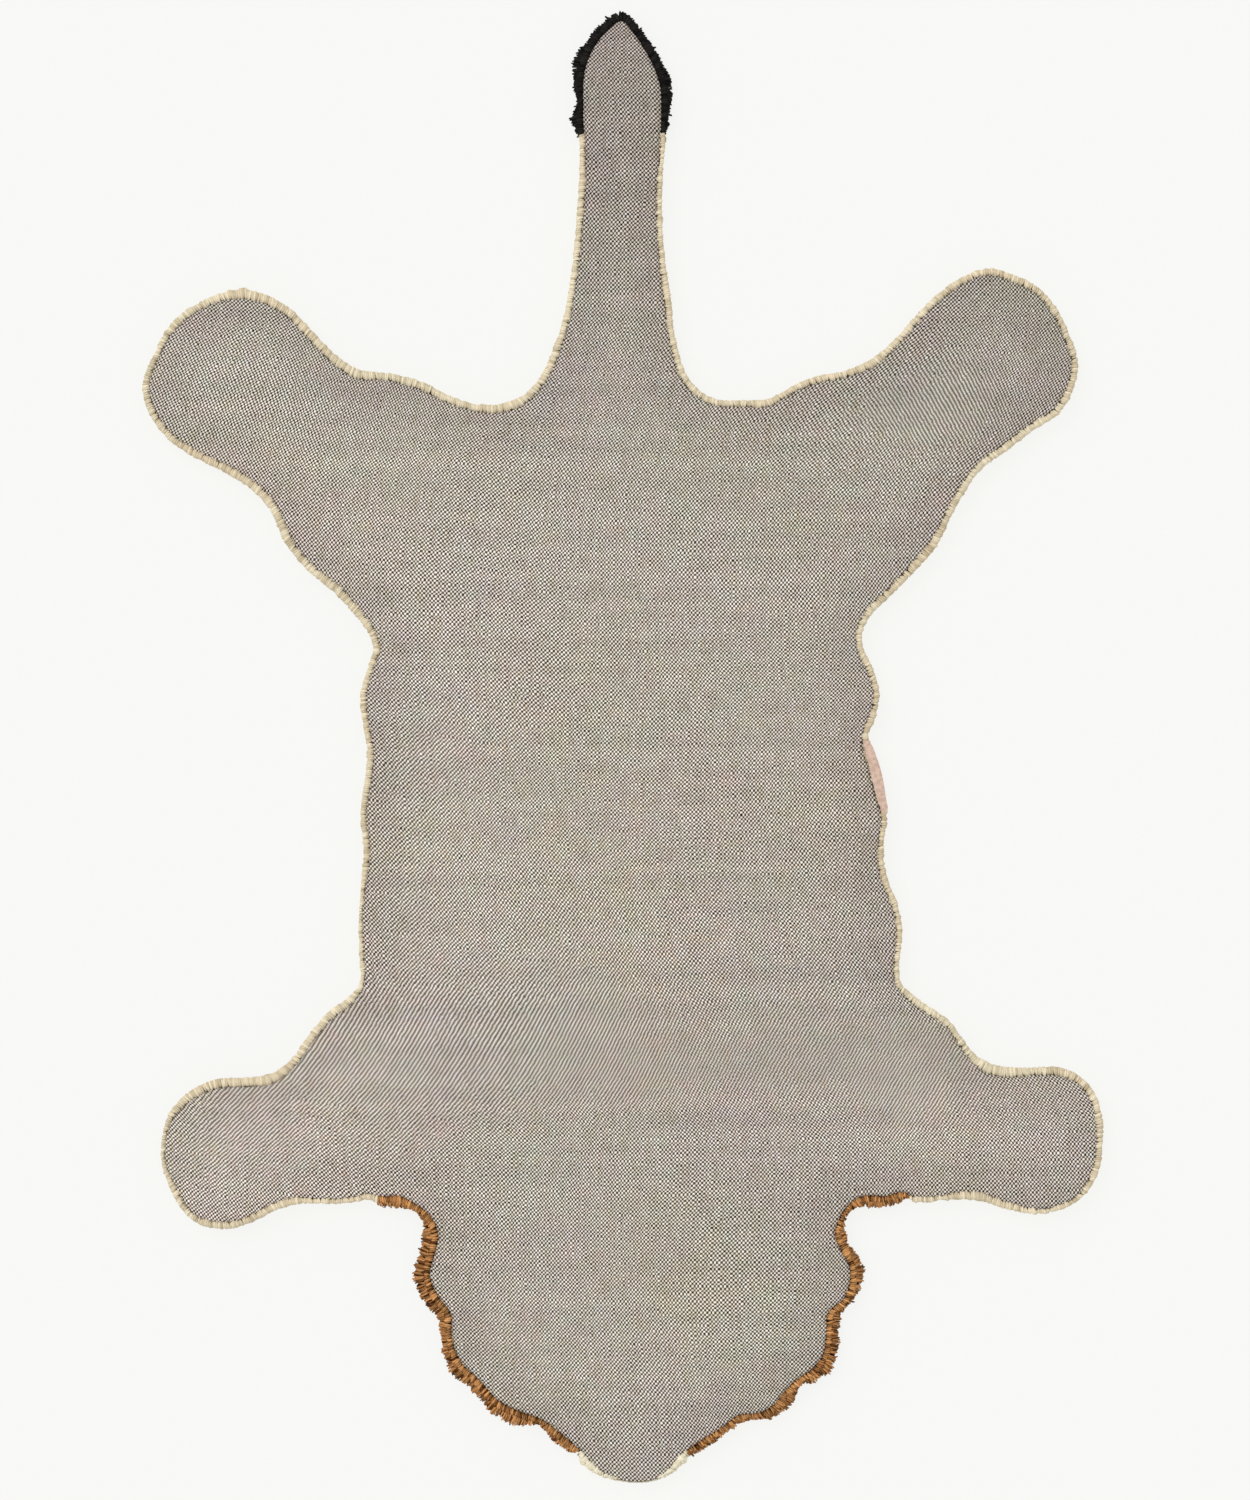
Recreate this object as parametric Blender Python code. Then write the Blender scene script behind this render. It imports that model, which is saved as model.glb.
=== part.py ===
"""A tufted rug for a child's room, in the outline of a lion, lying pile down with its canvas back up.

Frame: +X to the right, +Y towards the tail, -Y towards the muzzle, +Z up. The origin lies on the
floor, under the middle of the rug's box. Sizes whose names end in _MM are millimetres.
"""

import bisect
import math
import random

import bmesh
import bpy
from mathutils import Vector

MM = 0.001

# Heights above the floor.
CANVAS_TOP_MM = 12.0
CANVAS_THICKNESS_MM = 1.2
CANVAS_HEM_WIDTH_MM = 1.5
CANVAS_HEM_DROP_MM = 0.5
PILE_TOP_MM = 10.5
PILE_SHELF_MM = 7.4
PILE_BULGE_HEIGHT_MM = 3.8
SHAG_FOOT_HEIGHT_MM = 1.6

# The pile's side, as distances in from the rim's outer line.
PILE_SHELF_INSET_MM = 1.1
PILE_BULGE_INSET_MM = 0.4
PILE_FOOT_INSET_MM = 2.0
PILE_LUMP_MM = 0.25
PILE_LUMP_LENGTHS_MM = (23.0, 37.0)

# The yarn whipped over the edge is one roll, with this section.
ROLL_TOP_MM = 12.2
ROLL_BOTTOM_MM = 7.7
ROLL_SIDES = 6
ROLL_WIDTH_ON_SHAG_MM = 4.6
ROLL_LEAST_SHAG_MARGIN_MM = 1.4
ROLL_LEAST_WIDTH_MM = 1.0

# Locks of shag at the rim of mane, muzzle and tail tip.
LOCK_PITCH_MM = 4.0
LOCK_TIP_SCALE = 0.42
LOCK_ROOT_SHARE = 0.35
LOCK_TIP_HEIGHT_MM = 3.4
LOCK_HEIGHT_SPREAD_MM = 1.0
LOCK_SWEEP_MM = 0.7
LOCK_LENGTH_SPREAD = 0.22
LOCK_LEAST_LENGTH_MM = 0.9
LOCK_SEED = 11

# Neighbouring pieces stand this far apart.
GAP_MM = 0.3

# The middle of the rug's box, as the marks below count it.
BOX_MIDDLE_MM = (0.16, -0.46)

# Pitch of the outline's stations along the smooth edges, and how finely the curve is followed.
STATION_PITCH_MM = 7.2
STEPS_BETWEEN_MARKS = 24

# Edges sharper than this are shaded as creases.
CREASE_DEG = 50.0
SHAG_CREASE_DEG = 30.0

# The folded label in the right flank's edge.
LABEL_TOP_MM = 12.0
LABEL_LAYER_MM = 0.6
LABEL_LAYER_GAP_MM = 0.3
LABEL_HEAD_Y_MM = 3.6
LABEL_FOOT_Y_MM = -42.6
# Its width out from the canvas's edge, at even steps from its foot to its head.
LABEL_WIDTHS_MM = (4.4, 5.6, 6.6, 7.3, 7.6, 7.4, 5.4)
LABEL_SEARCH_STEPS = 2000

# Where the pile changes colour: half an ellipse that stands up from each end of the seam.
NECK_RISE_MM = 46.0
NECK_STEPS = 14
MUZZLE_RISE_MM = 34.0
MUZZLE_STEPS = 8
SEAM_SQUARE_MM = 2.5

# The muzzle's middle, where the canvas reaches the very edge and no yarn shows.
MUZZLE_BARE_FROM_X_MM = -2.5
MUZZLE_BARE_TO_X_MM = 20.0

# Marks along the canvas's edge, going round with the rug on the left hand.
# Columns: x (mm), y (mm), rim (mm, from the canvas's edge out to the rug's outline).
TAIL_LEFT = (
    (-23.5, 374.2, 3.7),
    (-22.9, 358.3, 3.7),
    (-23.5, 333.8, 4.3),
    (-25.4, 309.4, 4.3),
    (-28.4, 284.9, 3.7),
    (-32.1, 263.5, 3.9),
    (-38.2, 242.1, 4.6),
    (-44.9, 226.9, 4.4),
    (-54.7, 214.0, 4.8),
    (-63.9, 207.3, 5.6),
    (-74.9, 204.2, 5.6),
)
LEFT_THIGH = (
    (-87.1, 204.6, 4.6),
    (-106.7, 210.4, 4.3),
    (-125.0, 218.6, 5.2),
    (-145.2, 224.1, 4.7),
    (-162.3, 225.0, 5.8),
    (-176.3, 233.6, 5.4),
    (-191.0, 248.3, 5.2),
    (-207.5, 264.8, 5.2),
)
LEFT_HIND_PAW = (
    (-227.7, 273.3, 5.7),
    (-239.9, 273.3, 5.5),
    (-258.2, 266.6, 4.9),
    (-272.9, 255.6, 4.8),
    (-282.7, 239.7, 3.7),
    (-289.7, 218.9, 4.3),
    (-287.0, 207.9, 4.4),
    (-276.0, 191.4, 4.3),
    (-258.9, 179.8, 4.4),
)
LEFT_HAUNCH = (
    (-239.3, 170.6, 5.2),
    (-223.4, 160.3, 5.2),
    (-211.8, 147.4, 5.0),
    (-201.4, 125.4, 5.3),
    (-189.2, 110.1, 4.6),
    (-173.9, 98.5, 5.4),
    (-159.8, 82.6, 5.0),
    (-150.1, 67.4, 4.4),
)
LEFT_FLANK = (
    (-148.5, 60.0, 4.3),
    (-152.5, 47.8, 3.6),
    (-156.8, 30.1, 4.0),
    (-154.9, 12.3, 3.7),
    (-152.2, -5.4, 4.3),
    (-154.3, -24.3, 4.3),
    (-156.8, -40.2, 3.7),
    (-154.9, -64.7, 3.8),
    (-157.4, -86.7, 3.1),
    (-159.5, -105.0, 1.7),
    (-158.3, -127.6, 3.1),
    (-158.9, -147.8, 2.8),
)
LEFT_FORELEG = (
    (-166.5, -158.2, 5.0),
    (-176.3, -165.5, 5.0),
    (-188.6, -179.6, 5.0),
    (-199.6, -194.8, 4.8),
    (-214.2, -206.2, 6.0),
    (-230.7, -208.0, 5.5),
    (-249.1, -209.2, 5.5),
)
LEFT_FORE_PAW = (
    (-264.3, -216.9, 5.2),
    (-274.7, -227.2, 3.8),
    (-279.6, -241.9, 2.3),
    (-279.0, -256.6, 2.8),
    (-273.5, -268.2, 4.2),
    (-268.6, -278.6, 4.0),
    (-259.5, -287.8, 4.2),
    (-244.8, -291.1, 4.3),
    (-229.5, -288.1, 4.4),
)
LEFT_ARMPIT = (
    (-216.7, -281.0, 4.9),
    (-203.2, -276.4, 4.6),
    (-181.8, -276.8, 3.3),
    (-166.5, -276.4, 3.2),
    (-155.5, -273.4, 4.6),
)
MANE_LEFT = (
    (-149.4, -275.2, 6.5),
    (-136.0, -275.2, 8.0),
    (-127.4, -279.5, 5.5),
    (-117.7, -287.1, 6.0),
    (-112.8, -298.1, 10.3),
    (-115.2, -311.6, 9.2),
    (-118.0, -323.2, 11.0),
    (-112.8, -336.0, 9.8),
    (-105.4, -346.4, 9.0),
)
MANE_LEFT_LOWER = (
    (-104.5, -361.7, 7.0),
    (-99.3, -375.8, 9.4),
    (-87.1, -388.0, 8.5),
    (-74.9, -400.8, 9.2),
    (-62.6, -406.9, 10.0),
    (-50.4, -411.2, 4.6),
    (-38.2, -419.8, 7.2),
)
MUZZLE = (
    (-25.6, -430.6, 6.0),
    (-14.4, -441.8, 4.6),
    (-5.2, -447.0, 1.9),
    (8.9, -449.4, 0.6),
    (20.5, -447.6, 1.4),
    (27.8, -442.4, 3.9),
    (33.9, -434.7, 5.6),
)
MANE_RIGHT_LOWER = (
    (38.8, -431.1, 4.6),
    (49.8, -423.4, 6.3),
    (60.8, -416.4, 5.0),
    (71.8, -408.8, 5.2),
    (82.8, -407.9, 4.6),
    (91.4, -403.6, 8.2),
    (99.9, -393.5, 8.5),
    (106.0, -387.7, 4.6),
    (116.4, -380.3, 10.0),
    (122.8, -371.5, 9.8),
    (124.7, -359.3, 8.4),
)
MANE_RIGHT = (
    (126.2, -345.8, 7.8),
    (135.1, -337.9, 5.5),
    (139.0, -328.1, 8.4),
    (138.7, -317.7, 8.2),
    (133.6, -308.2, 5.9),
    (129.9, -296.9, 6.8),
    (132.3, -289.6, 4.0),
    (137.8, -281.0, 4.2),
    (146.4, -275.2, 7.5),
    (160.4, -275.2, 7.0),
    (172.0, -272.8, 7.0),
)
RIGHT_ARMPIT = (
    (176.3, -274.6, 4.5),
    (194.0, -275.1, 2.9),
    (204.4, -272.8, 4.9),
    (220.9, -273.4, 5.5),
    (232.5, -278.0, 4.7),
)
RIGHT_FORE_PAW = (
    (242.9, -281.0, 4.3),
    (255.1, -283.1, 3.3),
    (267.4, -280.4, 3.4),
    (278.4, -274.6, 3.2),
    (285.1, -265.1, 4.0),
    (288.8, -253.8, 4.1),
    (290.0, -240.7, 4.0),
    (289.4, -227.9, 4.6),
    (285.7, -215.0, 4.3),
    (277.8, -205.9, 4.9),
)
RIGHT_FORELEG = (
    (266.8, -201.3, 5.2),
    (252.1, -200.7, 4.3),
    (235.6, -201.9, 6.0),
    (221.6, -199.1, 6.0),
    (214.2, -193.0, 4.8),
    (204.4, -179.9, 3.8),
    (197.7, -170.7, 4.0),
    (184.3, -162.2, 4.4),
    (172.0, -152.1, 4.0),
)
RIGHT_FLANK = (
    (167.4, -146.6, 3.7),
    (166.2, -134.3, 3.4),
    (167.8, -115.4, 3.7),
    (165.3, -98.3, 3.8),
    (159.2, -83.9, 3.8),
    (156.2, -69.6, 4.2),
    (156.8, -56.1, 3.7),
    (158.6, -43.9, 3.8),
    (154.9, -31.0, 4.2),
    (150.7, -15.8, 4.4),
    (146.8, -0.5, 4.4),
    (147.0, 8.1, 4.2),
    (151.0, 18.5, 4.2),
    (153.7, 31.9, 3.7),
)
RIGHT_HAUNCH = (
    (150.1, 45.4, 4.0),
    (143.3, 60.0, 4.0),
    (143.3, 69.2, 3.5),
    (148.2, 81.7, 4.5),
    (161.7, 95.2, 4.2),
    (176.9, 111.4, 4.8),
    (189.8, 127.3, 5.0),
    (197.7, 142.5, 4.2),
    (206.3, 158.1, 4.5),
)
RIGHT_HIND_PAW = (
    (217.3, 172.8, 4.5),
    (232.5, 184.1, 4.6),
    (250.3, 197.5, 4.6),
    (264.4, 206.4, 4.2),
    (272.3, 220.8, 4.5),
    (274.7, 235.4, 4.3),
    (270.2, 249.5, 4.0),
    (263.7, 264.2, 3.8),
    (252.7, 277.0, 4.3),
    (236.8, 284.9, 4.3),
    (223.4, 288.3, 4.3),
    (207.5, 282.5, 3.9),
)
RIGHT_THIGH = (
    (192.8, 271.5, 4.2),
    (180.6, 259.0, 4.2),
    (167.2, 244.0, 4.2),
    (153.1, 231.8, 5.2),
    (136.0, 225.7, 4.0),
    (114.6, 220.8, 4.7),
    (100.5, 214.0, 4.0),
    (91.4, 208.5, 4.8),
    (71.8, 207.9, 4.1),
    (54.7, 209.2, 4.0),
)
TAIL_RIGHT = (
    (44.9, 214.7, 4.0),
    (37.0, 223.2, 4.3),
    (31.5, 237.3, 4.0),
    (28.7, 249.5, 4.0),
    (25.7, 272.7, 4.3),
    (22.9, 295.9, 3.7),
    (21.4, 314.3, 3.7),
    (21.4, 346.1, 3.4),
    (23.2, 364.4, 3.0),
)
TAIL_TIP = (
    (23.5, 374.8, 3.9),
    (23.8, 387.6, 4.9),
    (22.9, 404.7, 7.6),
    (19.3, 415.1, 6.3),
    (13.8, 425.5, 6.0),
    (7.0, 435.9, 4.9),
    (-0.3, 443.5, 6.6),
    (-10.7, 435.9, 6.2),
    (-17.4, 427.4, 6.6),
    (-21.7, 418.2, 8.8),
    (-24.1, 406.0, 6.1),
    (-24.1, 391.9, 4.3),
    (-24.1, 382.7, 7.4),
)

# The edge in order, and for each run whether shag grows along it.
CREAM_LEFT_RUN = (
    TAIL_LEFT + LEFT_THIGH + LEFT_HIND_PAW + LEFT_HAUNCH
    + LEFT_FLANK + LEFT_FORELEG + LEFT_FORE_PAW + LEFT_ARMPIT
)
MANE_LEFT_RUN = MANE_LEFT + MANE_LEFT_LOWER
MANE_RIGHT_RUN = MANE_RIGHT_LOWER + MANE_RIGHT
CREAM_RIGHT_RUN = (
    RIGHT_ARMPIT + RIGHT_FORE_PAW + RIGHT_FORELEG + RIGHT_FLANK
    + RIGHT_HAUNCH + RIGHT_HIND_PAW + RIGHT_THIGH + TAIL_RIGHT
)
RUNS = (
    ("cream_left", CREAM_LEFT_RUN, False),
    ("mane_left", MANE_LEFT_RUN, True),
    ("muzzle", MUZZLE, True),
    ("mane_right", MANE_RIGHT_RUN, True),
    ("cream_right", CREAM_RIGHT_RUN, False),
    ("tail_tip", TAIL_TIP, True),
)

# Colour and roughness of each material.
LOOKS = {
    "canvas_greige": ((0.45, 0.41, 0.36), 0.95),
    "yarn_cream": ((0.68, 0.57, 0.41), 0.9),
    "yarn_brown": ((0.29, 0.135, 0.05), 0.9),
    "yarn_black": ((0.018, 0.017, 0.015), 0.9),
    "yarn_off_white": ((0.69, 0.65, 0.51), 0.9),
    "ribbon_pink_beige": ((0.62, 0.45, 0.35), 0.8),
}


class Station:
    """A place on the canvas's edge: where it is, which way is out, the rim's width, and how far round."""

    def __init__(self, place, out, rim, travel):
        self.place = place
        self.out = out
        self.rim = rim
        self.travel = travel

    def at(self, distance, height):
        """The point this far out from the canvas's edge and this high, in metres."""
        flat = self.place + self.out * distance - Vector(BOX_MIDDLE_MM)
        return Vector((flat.x * MM, flat.y * MM, height * MM))


def clear_scene():
    for old in list(bpy.data.objects):
        bpy.data.objects.remove(old, do_unlink=True)


def material(name):
    colour, roughness = LOOKS[name]
    made = bpy.data.materials.get(name) or bpy.data.materials.new(name)
    made.use_nodes = True
    shader = made.node_tree.nodes["Principled BSDF"]
    shader.inputs["Base Color"].default_value = (*colour, 1.0)
    shader.inputs["Roughness"].default_value = roughness
    shader.inputs["Metallic"].default_value = 0.0
    made.diffuse_color = (*colour, 1.0)
    return made


class Edge:
    """A smooth closed curve through all marks, followed in fine steps."""

    def __init__(self):
        marks = [Vector(mark) for _, table, _ in RUNS for mark in table]
        count = len(marks)
        chords = [(marks[(i + 1) % count].xy - marks[i].xy).length for i in range(count)]
        slopes = []
        for i in range(count):
            before = (marks[i] - marks[i - 1]) / chords[i - 1]
            after = (marks[(i + 1) % count] - marks[i]) / chords[i]
            slopes.append((before * chords[i] + after * chords[i - 1]) / (chords[i - 1] + chords[i]))
        self.steps = []
        for i in range(count):
            following = (i + 1) % count
            for k in range(STEPS_BETWEEN_MARKS):
                t = k / STEPS_BETWEEN_MARKS
                self.steps.append(
                    marks[i] * (2 * t**3 - 3 * t**2 + 1)
                    + slopes[i] * (chords[i] * (t**3 - 2 * t**2 + t))
                    + marks[following] * (3 * t**2 - 2 * t**3)
                    + slopes[following] * (chords[i] * (t**3 - t**2))
                )
        self.travels = [0.0]
        for step, following in zip(self.steps, self.steps[1:] + self.steps[:1]):
            self.travels.append(self.travels[-1] + (following.xy - step.xy).length)
        self.ends = {}
        mark = 0
        for name, table, _ in RUNS:
            first = self.travels[mark * STEPS_BETWEEN_MARKS]
            mark += len(table)
            self.ends[name] = (first, self.travels[mark * STEPS_BETWEEN_MARKS])

    def station(self, travel):
        low = bisect.bisect_right(self.travels, travel, hi=len(self.steps)) - 1
        share = (travel - self.travels[low]) / (self.travels[low + 1] - self.travels[low])
        value = self.steps[low].lerp(self.steps[(low + 1) % len(self.steps)], share)
        along = (self.steps[(low + 2) % len(self.steps)].xy - self.steps[low - 1].xy).normalized()
        return Station(value.xy, Vector((along.y, -along.x)), value.z, travel)

    def run(self, name, pitch):
        """Stations at an even pitch along a run, half a gap short of the runs on either side."""
        first = self.ends[name][0] + GAP_MM / 2
        last = self.ends[name][1] - GAP_MM / 2
        count = round((last - first) / pitch)
        return [self.station(first + (last - first) * k / count) for k in range(count + 1)]


def finish(name, shape, look, crease=CREASE_DEG):
    """Turn a closed bmesh into a named object with its own material."""
    bmesh.ops.recalc_face_normals(shape, faces=shape.faces)
    bmesh.ops.triangulate(shape, faces=shape.faces)
    mesh = bpy.data.meshes.new(name)
    shape.to_mesh(mesh)
    shape.free()
    mesh.shade_smooth()
    mesh.set_sharp_from_angle(angle=math.radians(crease))
    mesh.materials.append(material(look))
    made = bpy.data.objects.new(name, mesh)
    bpy.context.scene.collection.objects.link(made)
    return made


def stack_rings(rings):
    """A closed solid from rings of points: walls between neighbouring rings, and a face on each end."""
    shape = bmesh.new()
    rows = [[shape.verts.new(point) for point in ring] for ring in rings]
    walls = []
    size = len(rows[0])
    for upper, lower in zip(rows, rows[1:]):
        walls.append([
            shape.faces.new((upper[i], lower[i], lower[(i + 1) % size], upper[(i + 1) % size]))
            for i in range(size)
        ])
    shape.faces.new(rows[0])
    shape.faces.new(list(reversed(rows[-1])))
    return shape, walls


def half_ellipse(first, last, rise, steps):
    """Points of a seam between two stations: square to the rim at both ends, then half an ellipse."""
    start = first.place - first.out * SEAM_SQUARE_MM
    end = last.place - last.out * SEAM_SQUARE_MM
    middle = (start + end) / 2
    reach = (end - start) / 2
    points = []
    for k in range(steps + 1):
        turn = math.pi * k / steps
        points.append(middle - reach * math.cos(turn) + Vector((0.0, rise * math.sin(turn))))
    return points


def seam_stations(points, side):
    """Seam points moved half a gap to one side of the seam, with no rim of their own."""
    stations = []
    for i, point in enumerate(points):
        before = points[max(i - 1, 0)]
        after = points[min(i + 1, len(points) - 1)]
        along = (after - before).normalized() if after != before else Vector((1.0, 0.0))
        across = Vector((-along.y, along.x))
        stations.append(Station(point + across * side * GAP_MM / 2, Vector((0.0, 0.0)), 0.0, 0.0))
    return stations


def lump(travel):
    """Slow unevenness of the pile's side."""
    first, second = PILE_LUMP_LENGTHS_MM
    return PILE_LUMP_MM * (math.sin(2 * math.pi * travel / first) + math.sin(2 * math.pi * travel / second))


def roll_width(station, shag):
    if not shag:
        return station.rim
    return min(ROLL_WIDTH_ON_SHAG_MM, max(station.rim - ROLL_LEAST_SHAG_MARGIN_MM, ROLL_LEAST_WIDTH_MM))


def label_relief(station):
    """How far the whipping is pressed down, so that the label lies level on it."""
    if station.place.x < 0:
        return 0.0
    depth = ROLL_TOP_MM - LABEL_TOP_MM + 2 * LABEL_LAYER_MM + LABEL_LAYER_GAP_MM + GAP_MM
    past = max(station.place.y - LABEL_HEAD_Y_MM, LABEL_FOOT_Y_MM - station.place.y)
    return depth if past < STATION_PITCH_MM else 0.0


def build_canvas(rim):
    rings = [
        [s.at(-GAP_MM / 2 - CANVAS_HEM_WIDTH_MM, CANVAS_TOP_MM) for s in rim],
        [s.at(-GAP_MM / 2, CANVAS_TOP_MM - CANVAS_HEM_DROP_MM) for s in rim],
        [s.at(-GAP_MM / 2, CANVAS_TOP_MM - CANVAS_THICKNESS_MM) for s in rim],
    ]
    shape, _ = stack_rings(rings)
    return finish("backing_canvas", shape, "canvas_greige")


def build_roll(name, stations, shag, look):
    """The whipping along one run: a roll of yarn over the edge, wide where the rim is wide."""
    rings = []
    for s in stations:
        width = roll_width(s, shag)
        top = ROLL_TOP_MM - label_relief(s)
        inner = GAP_MM / 2
        half_width = (width - inner) / 2
        half_height = (top - ROLL_BOTTOM_MM) / 2
        ring = []
        for k in range(ROLL_SIDES):
            turn = 2 * math.pi * k / ROLL_SIDES
            rise = math.sin(turn) / math.sin(math.pi / 3)
            distance = inner + half_width * (1 + math.cos(turn))
            ring.append(s.at(distance, ROLL_BOTTOM_MM + half_height * (1 + rise)))
        rings.append(ring)
    shape, _ = stack_rings(rings)
    return finish(name, shape, look)


def build_cut_pile(name, loop, look):
    """Short pile: a slab under the canvas and the whipping, its side a little lumpy, its underside flat."""
    rings = [
        [s.at(-GAP_MM, PILE_TOP_MM) for s in loop],
        [s.at(-GAP_MM, PILE_SHELF_MM) for s in loop],
        [s.at(s.rim - PILE_SHELF_INSET_MM + lump(s.travel), PILE_SHELF_MM) for s in loop],
        [s.at(s.rim - PILE_BULGE_INSET_MM + lump(s.travel), PILE_BULGE_HEIGHT_MM) for s in loop],
        [s.at(s.rim - PILE_FOOT_INSET_MM + lump(s.travel), 0.0) for s in loop],
    ]
    shape, _ = stack_rings(rings)
    return finish(name, shape, look)


def build_shag(name, loop, look, chance):
    """Shag: a lumpy slab whose side grows one tapered lock between each pair of stations on the rim."""
    def foot(s, inset):
        roll = roll_width(s, True)
        return roll + (s.rim - roll) * LOCK_ROOT_SHARE - inset if s.rim else 0.0

    rings = [
        [s.at(-GAP_MM, PILE_TOP_MM) for s in loop],
        [s.at(-GAP_MM, PILE_SHELF_MM) for s in loop],
        [s.at(foot(s, PILE_BULGE_INSET_MM), PILE_SHELF_MM) for s in loop],
        [s.at(foot(s, 0.0), SHAG_FOOT_HEIGHT_MM) for s in loop],
        [s.at(foot(s, PILE_FOOT_INSET_MM), 0.0) for s in loop],
    ]
    shape, walls = stack_rings(rings)
    side = walls[2]
    grown = []
    for i, wall in enumerate(side):
        near = loop[i]
        far = loop[(i + 1) % len(loop)]
        if not near.rim or not far.rim:
            continue
        length = (near.rim - foot(near, 0.0) + far.rim - foot(far, 0.0)) / 2
        length *= 1.0 + chance.uniform(-LOCK_LENGTH_SPREAD, LOCK_LENGTH_SPREAD)
        if length > LOCK_LEAST_LENGTH_MM:
            grown.append((wall, (near.out + far.out).normalized(), length))
    tops = bmesh.ops.extrude_discrete_faces(shape, faces=[wall for wall, _, _ in grown])["faces"]
    for top, (_, out, length) in zip(tops, grown):
        centre = top.calc_center_median()
        height = LOCK_TIP_HEIGHT_MM + chance.uniform(-LOCK_HEIGHT_SPREAD_MM, LOCK_HEIGHT_SPREAD_MM)
        sweep = chance.uniform(-LOCK_SWEEP_MM, LOCK_SWEEP_MM)
        tip = Vector((centre.x, centre.y, height * MM))
        tip.xy += (out * length + Vector((-out.y, out.x)) * sweep) * MM
        for vert in top.verts:
            vert.co = tip + (vert.co - centre) * LOCK_TIP_SCALE
    return finish(name, shape, look, SHAG_CREASE_DEG)


def build_label(edge):
    """A woven strip folded along its outer edge, two layers a little apart, lying on the whipping."""
    first, last = edge.ends["cream_right"]
    steps = range(LABEL_SEARCH_STEPS + 1)
    fine = [edge.station(first + (last - first) * k / LABEL_SEARCH_STEPS) for k in steps]
    held = [s for s in fine if LABEL_FOOT_Y_MM <= s.place.y <= LABEL_HEAD_Y_MM]
    start, end = held[0].travel, held[-1].travel
    count = len(LABEL_WIDTHS_MM)
    inner = GAP_MM / 2
    top = LABEL_TOP_MM
    slot_top = top - LABEL_LAYER_MM
    slot_bottom = slot_top - LABEL_LAYER_GAP_MM
    bottom = slot_bottom - LABEL_LAYER_MM
    rings = []
    for k, outer in enumerate(LABEL_WIDTHS_MM):
        s = edge.station(start + (end - start) * k / (count - 1))
        fold = outer - LABEL_LAYER_MM
        section = (
            (inner, top), (outer - GAP_MM, top), (outer, slot_top), (outer, slot_bottom),
            (outer - GAP_MM, bottom), (inner, bottom), (inner, slot_bottom), (fold, slot_bottom),
            (fold, slot_top), (inner, slot_top),
        )
        rings.append([s.at(distance, height) for distance, height in section])
    shape, _ = stack_rings(rings)
    return finish("label", shape, "ribbon_pink_beige")


def main():
    clear_scene()
    edge = Edge()
    stations = {}
    for name, _, shag in RUNS:
        stations[name] = edge.run(name, LOCK_PITCH_MM if shag else STATION_PITCH_MM)

    build_canvas([s for name, _, _ in RUNS for s in stations[name][:-1]])

    build_roll("edging_cream_left", stations["cream_left"], False, "yarn_cream")
    build_roll("edging_cream_right", stations["cream_right"], False, "yarn_cream")
    build_roll("edging_brown_left", stations["mane_left"], True, "yarn_brown")
    build_roll("edging_brown_right", stations["mane_right"], True, "yarn_brown")
    build_roll("edging_black", stations["tail_tip"], True, "yarn_black")
    white_left = [s for s in stations["muzzle"] if s.place.x < MUZZLE_BARE_FROM_X_MM]
    white_right = [s for s in stations["muzzle"] if s.place.x > MUZZLE_BARE_TO_X_MM]
    build_roll("edging_white_left", white_left, True, "yarn_off_white")
    build_roll("edging_white_right", white_right, True, "yarn_off_white")

    neck = half_ellipse(stations["mane_left"][0], stations["mane_right"][-1], NECK_RISE_MM, NECK_STEPS)
    chin = half_ellipse(stations["muzzle"][0], stations["muzzle"][-1], MUZZLE_RISE_MM, MUZZLE_STEPS)
    tail = [s.place - s.out * SEAM_SQUARE_MM for s in (stations["tail_tip"][0], stations["tail_tip"][-1])]
    body_loop = (
        stations["cream_left"] + seam_stations(neck, 1)
        + stations["cream_right"] + seam_stations(tail, 1)
    )
    mane_loop = (
        stations["mane_left"] + seam_stations(chin, 1)
        + stations["mane_right"] + list(reversed(seam_stations(neck, -1)))
    )
    muzzle_loop = stations["muzzle"] + list(reversed(seam_stations(chin, -1)))
    build_cut_pile("pile_body", body_loop, "yarn_cream")
    chance = random.Random(LOCK_SEED)
    build_shag("pile_mane", mane_loop, "yarn_brown", chance)
    build_shag("pile_muzzle", muzzle_loop, "yarn_off_white", chance)
    tip_loop = stations["tail_tip"] + list(reversed(seam_stations(tail, -1)))
    build_shag("pile_tail_tip", tip_loop, "yarn_black", chance)

    build_label(edge)


main()
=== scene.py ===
"""How the lion-shaped tufted rug looks: woven canvas back, whipped yarn edge, cut pile and shag.

The rug lies pile down. Sizes whose names end in _MM, and the points that the functions work with,
are millimetres. A rim station is a place on the canvas's edge, met while going round with the rug
on the left hand; its travel is the distance gone round so far. A yarn's tone goes from 0, shaded,
to 1, lit, and its blush from 0 to 1, the pinkest. A spread is the standard deviation of a normal
draw, in the unit of what it varies or as a share of it. A jitter is the spread of places, as a share
of their pitch.
"""

import math

import bmesh
import bpy
import numpy as np
from mathutils import Matrix, Vector, noise
from mathutils.bvhtree import BVHTree
from mathutils.kdtree import KDTree


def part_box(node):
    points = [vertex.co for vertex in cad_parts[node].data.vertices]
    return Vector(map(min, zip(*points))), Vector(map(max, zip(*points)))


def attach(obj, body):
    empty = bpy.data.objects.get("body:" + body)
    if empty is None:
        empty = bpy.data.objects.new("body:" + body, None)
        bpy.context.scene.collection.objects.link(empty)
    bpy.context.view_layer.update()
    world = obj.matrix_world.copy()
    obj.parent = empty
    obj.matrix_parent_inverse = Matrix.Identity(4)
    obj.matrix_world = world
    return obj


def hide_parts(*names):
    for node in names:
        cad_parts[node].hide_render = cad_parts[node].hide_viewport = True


MM = 0.001
CAD_MERGE_M = 0.00001
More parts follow.
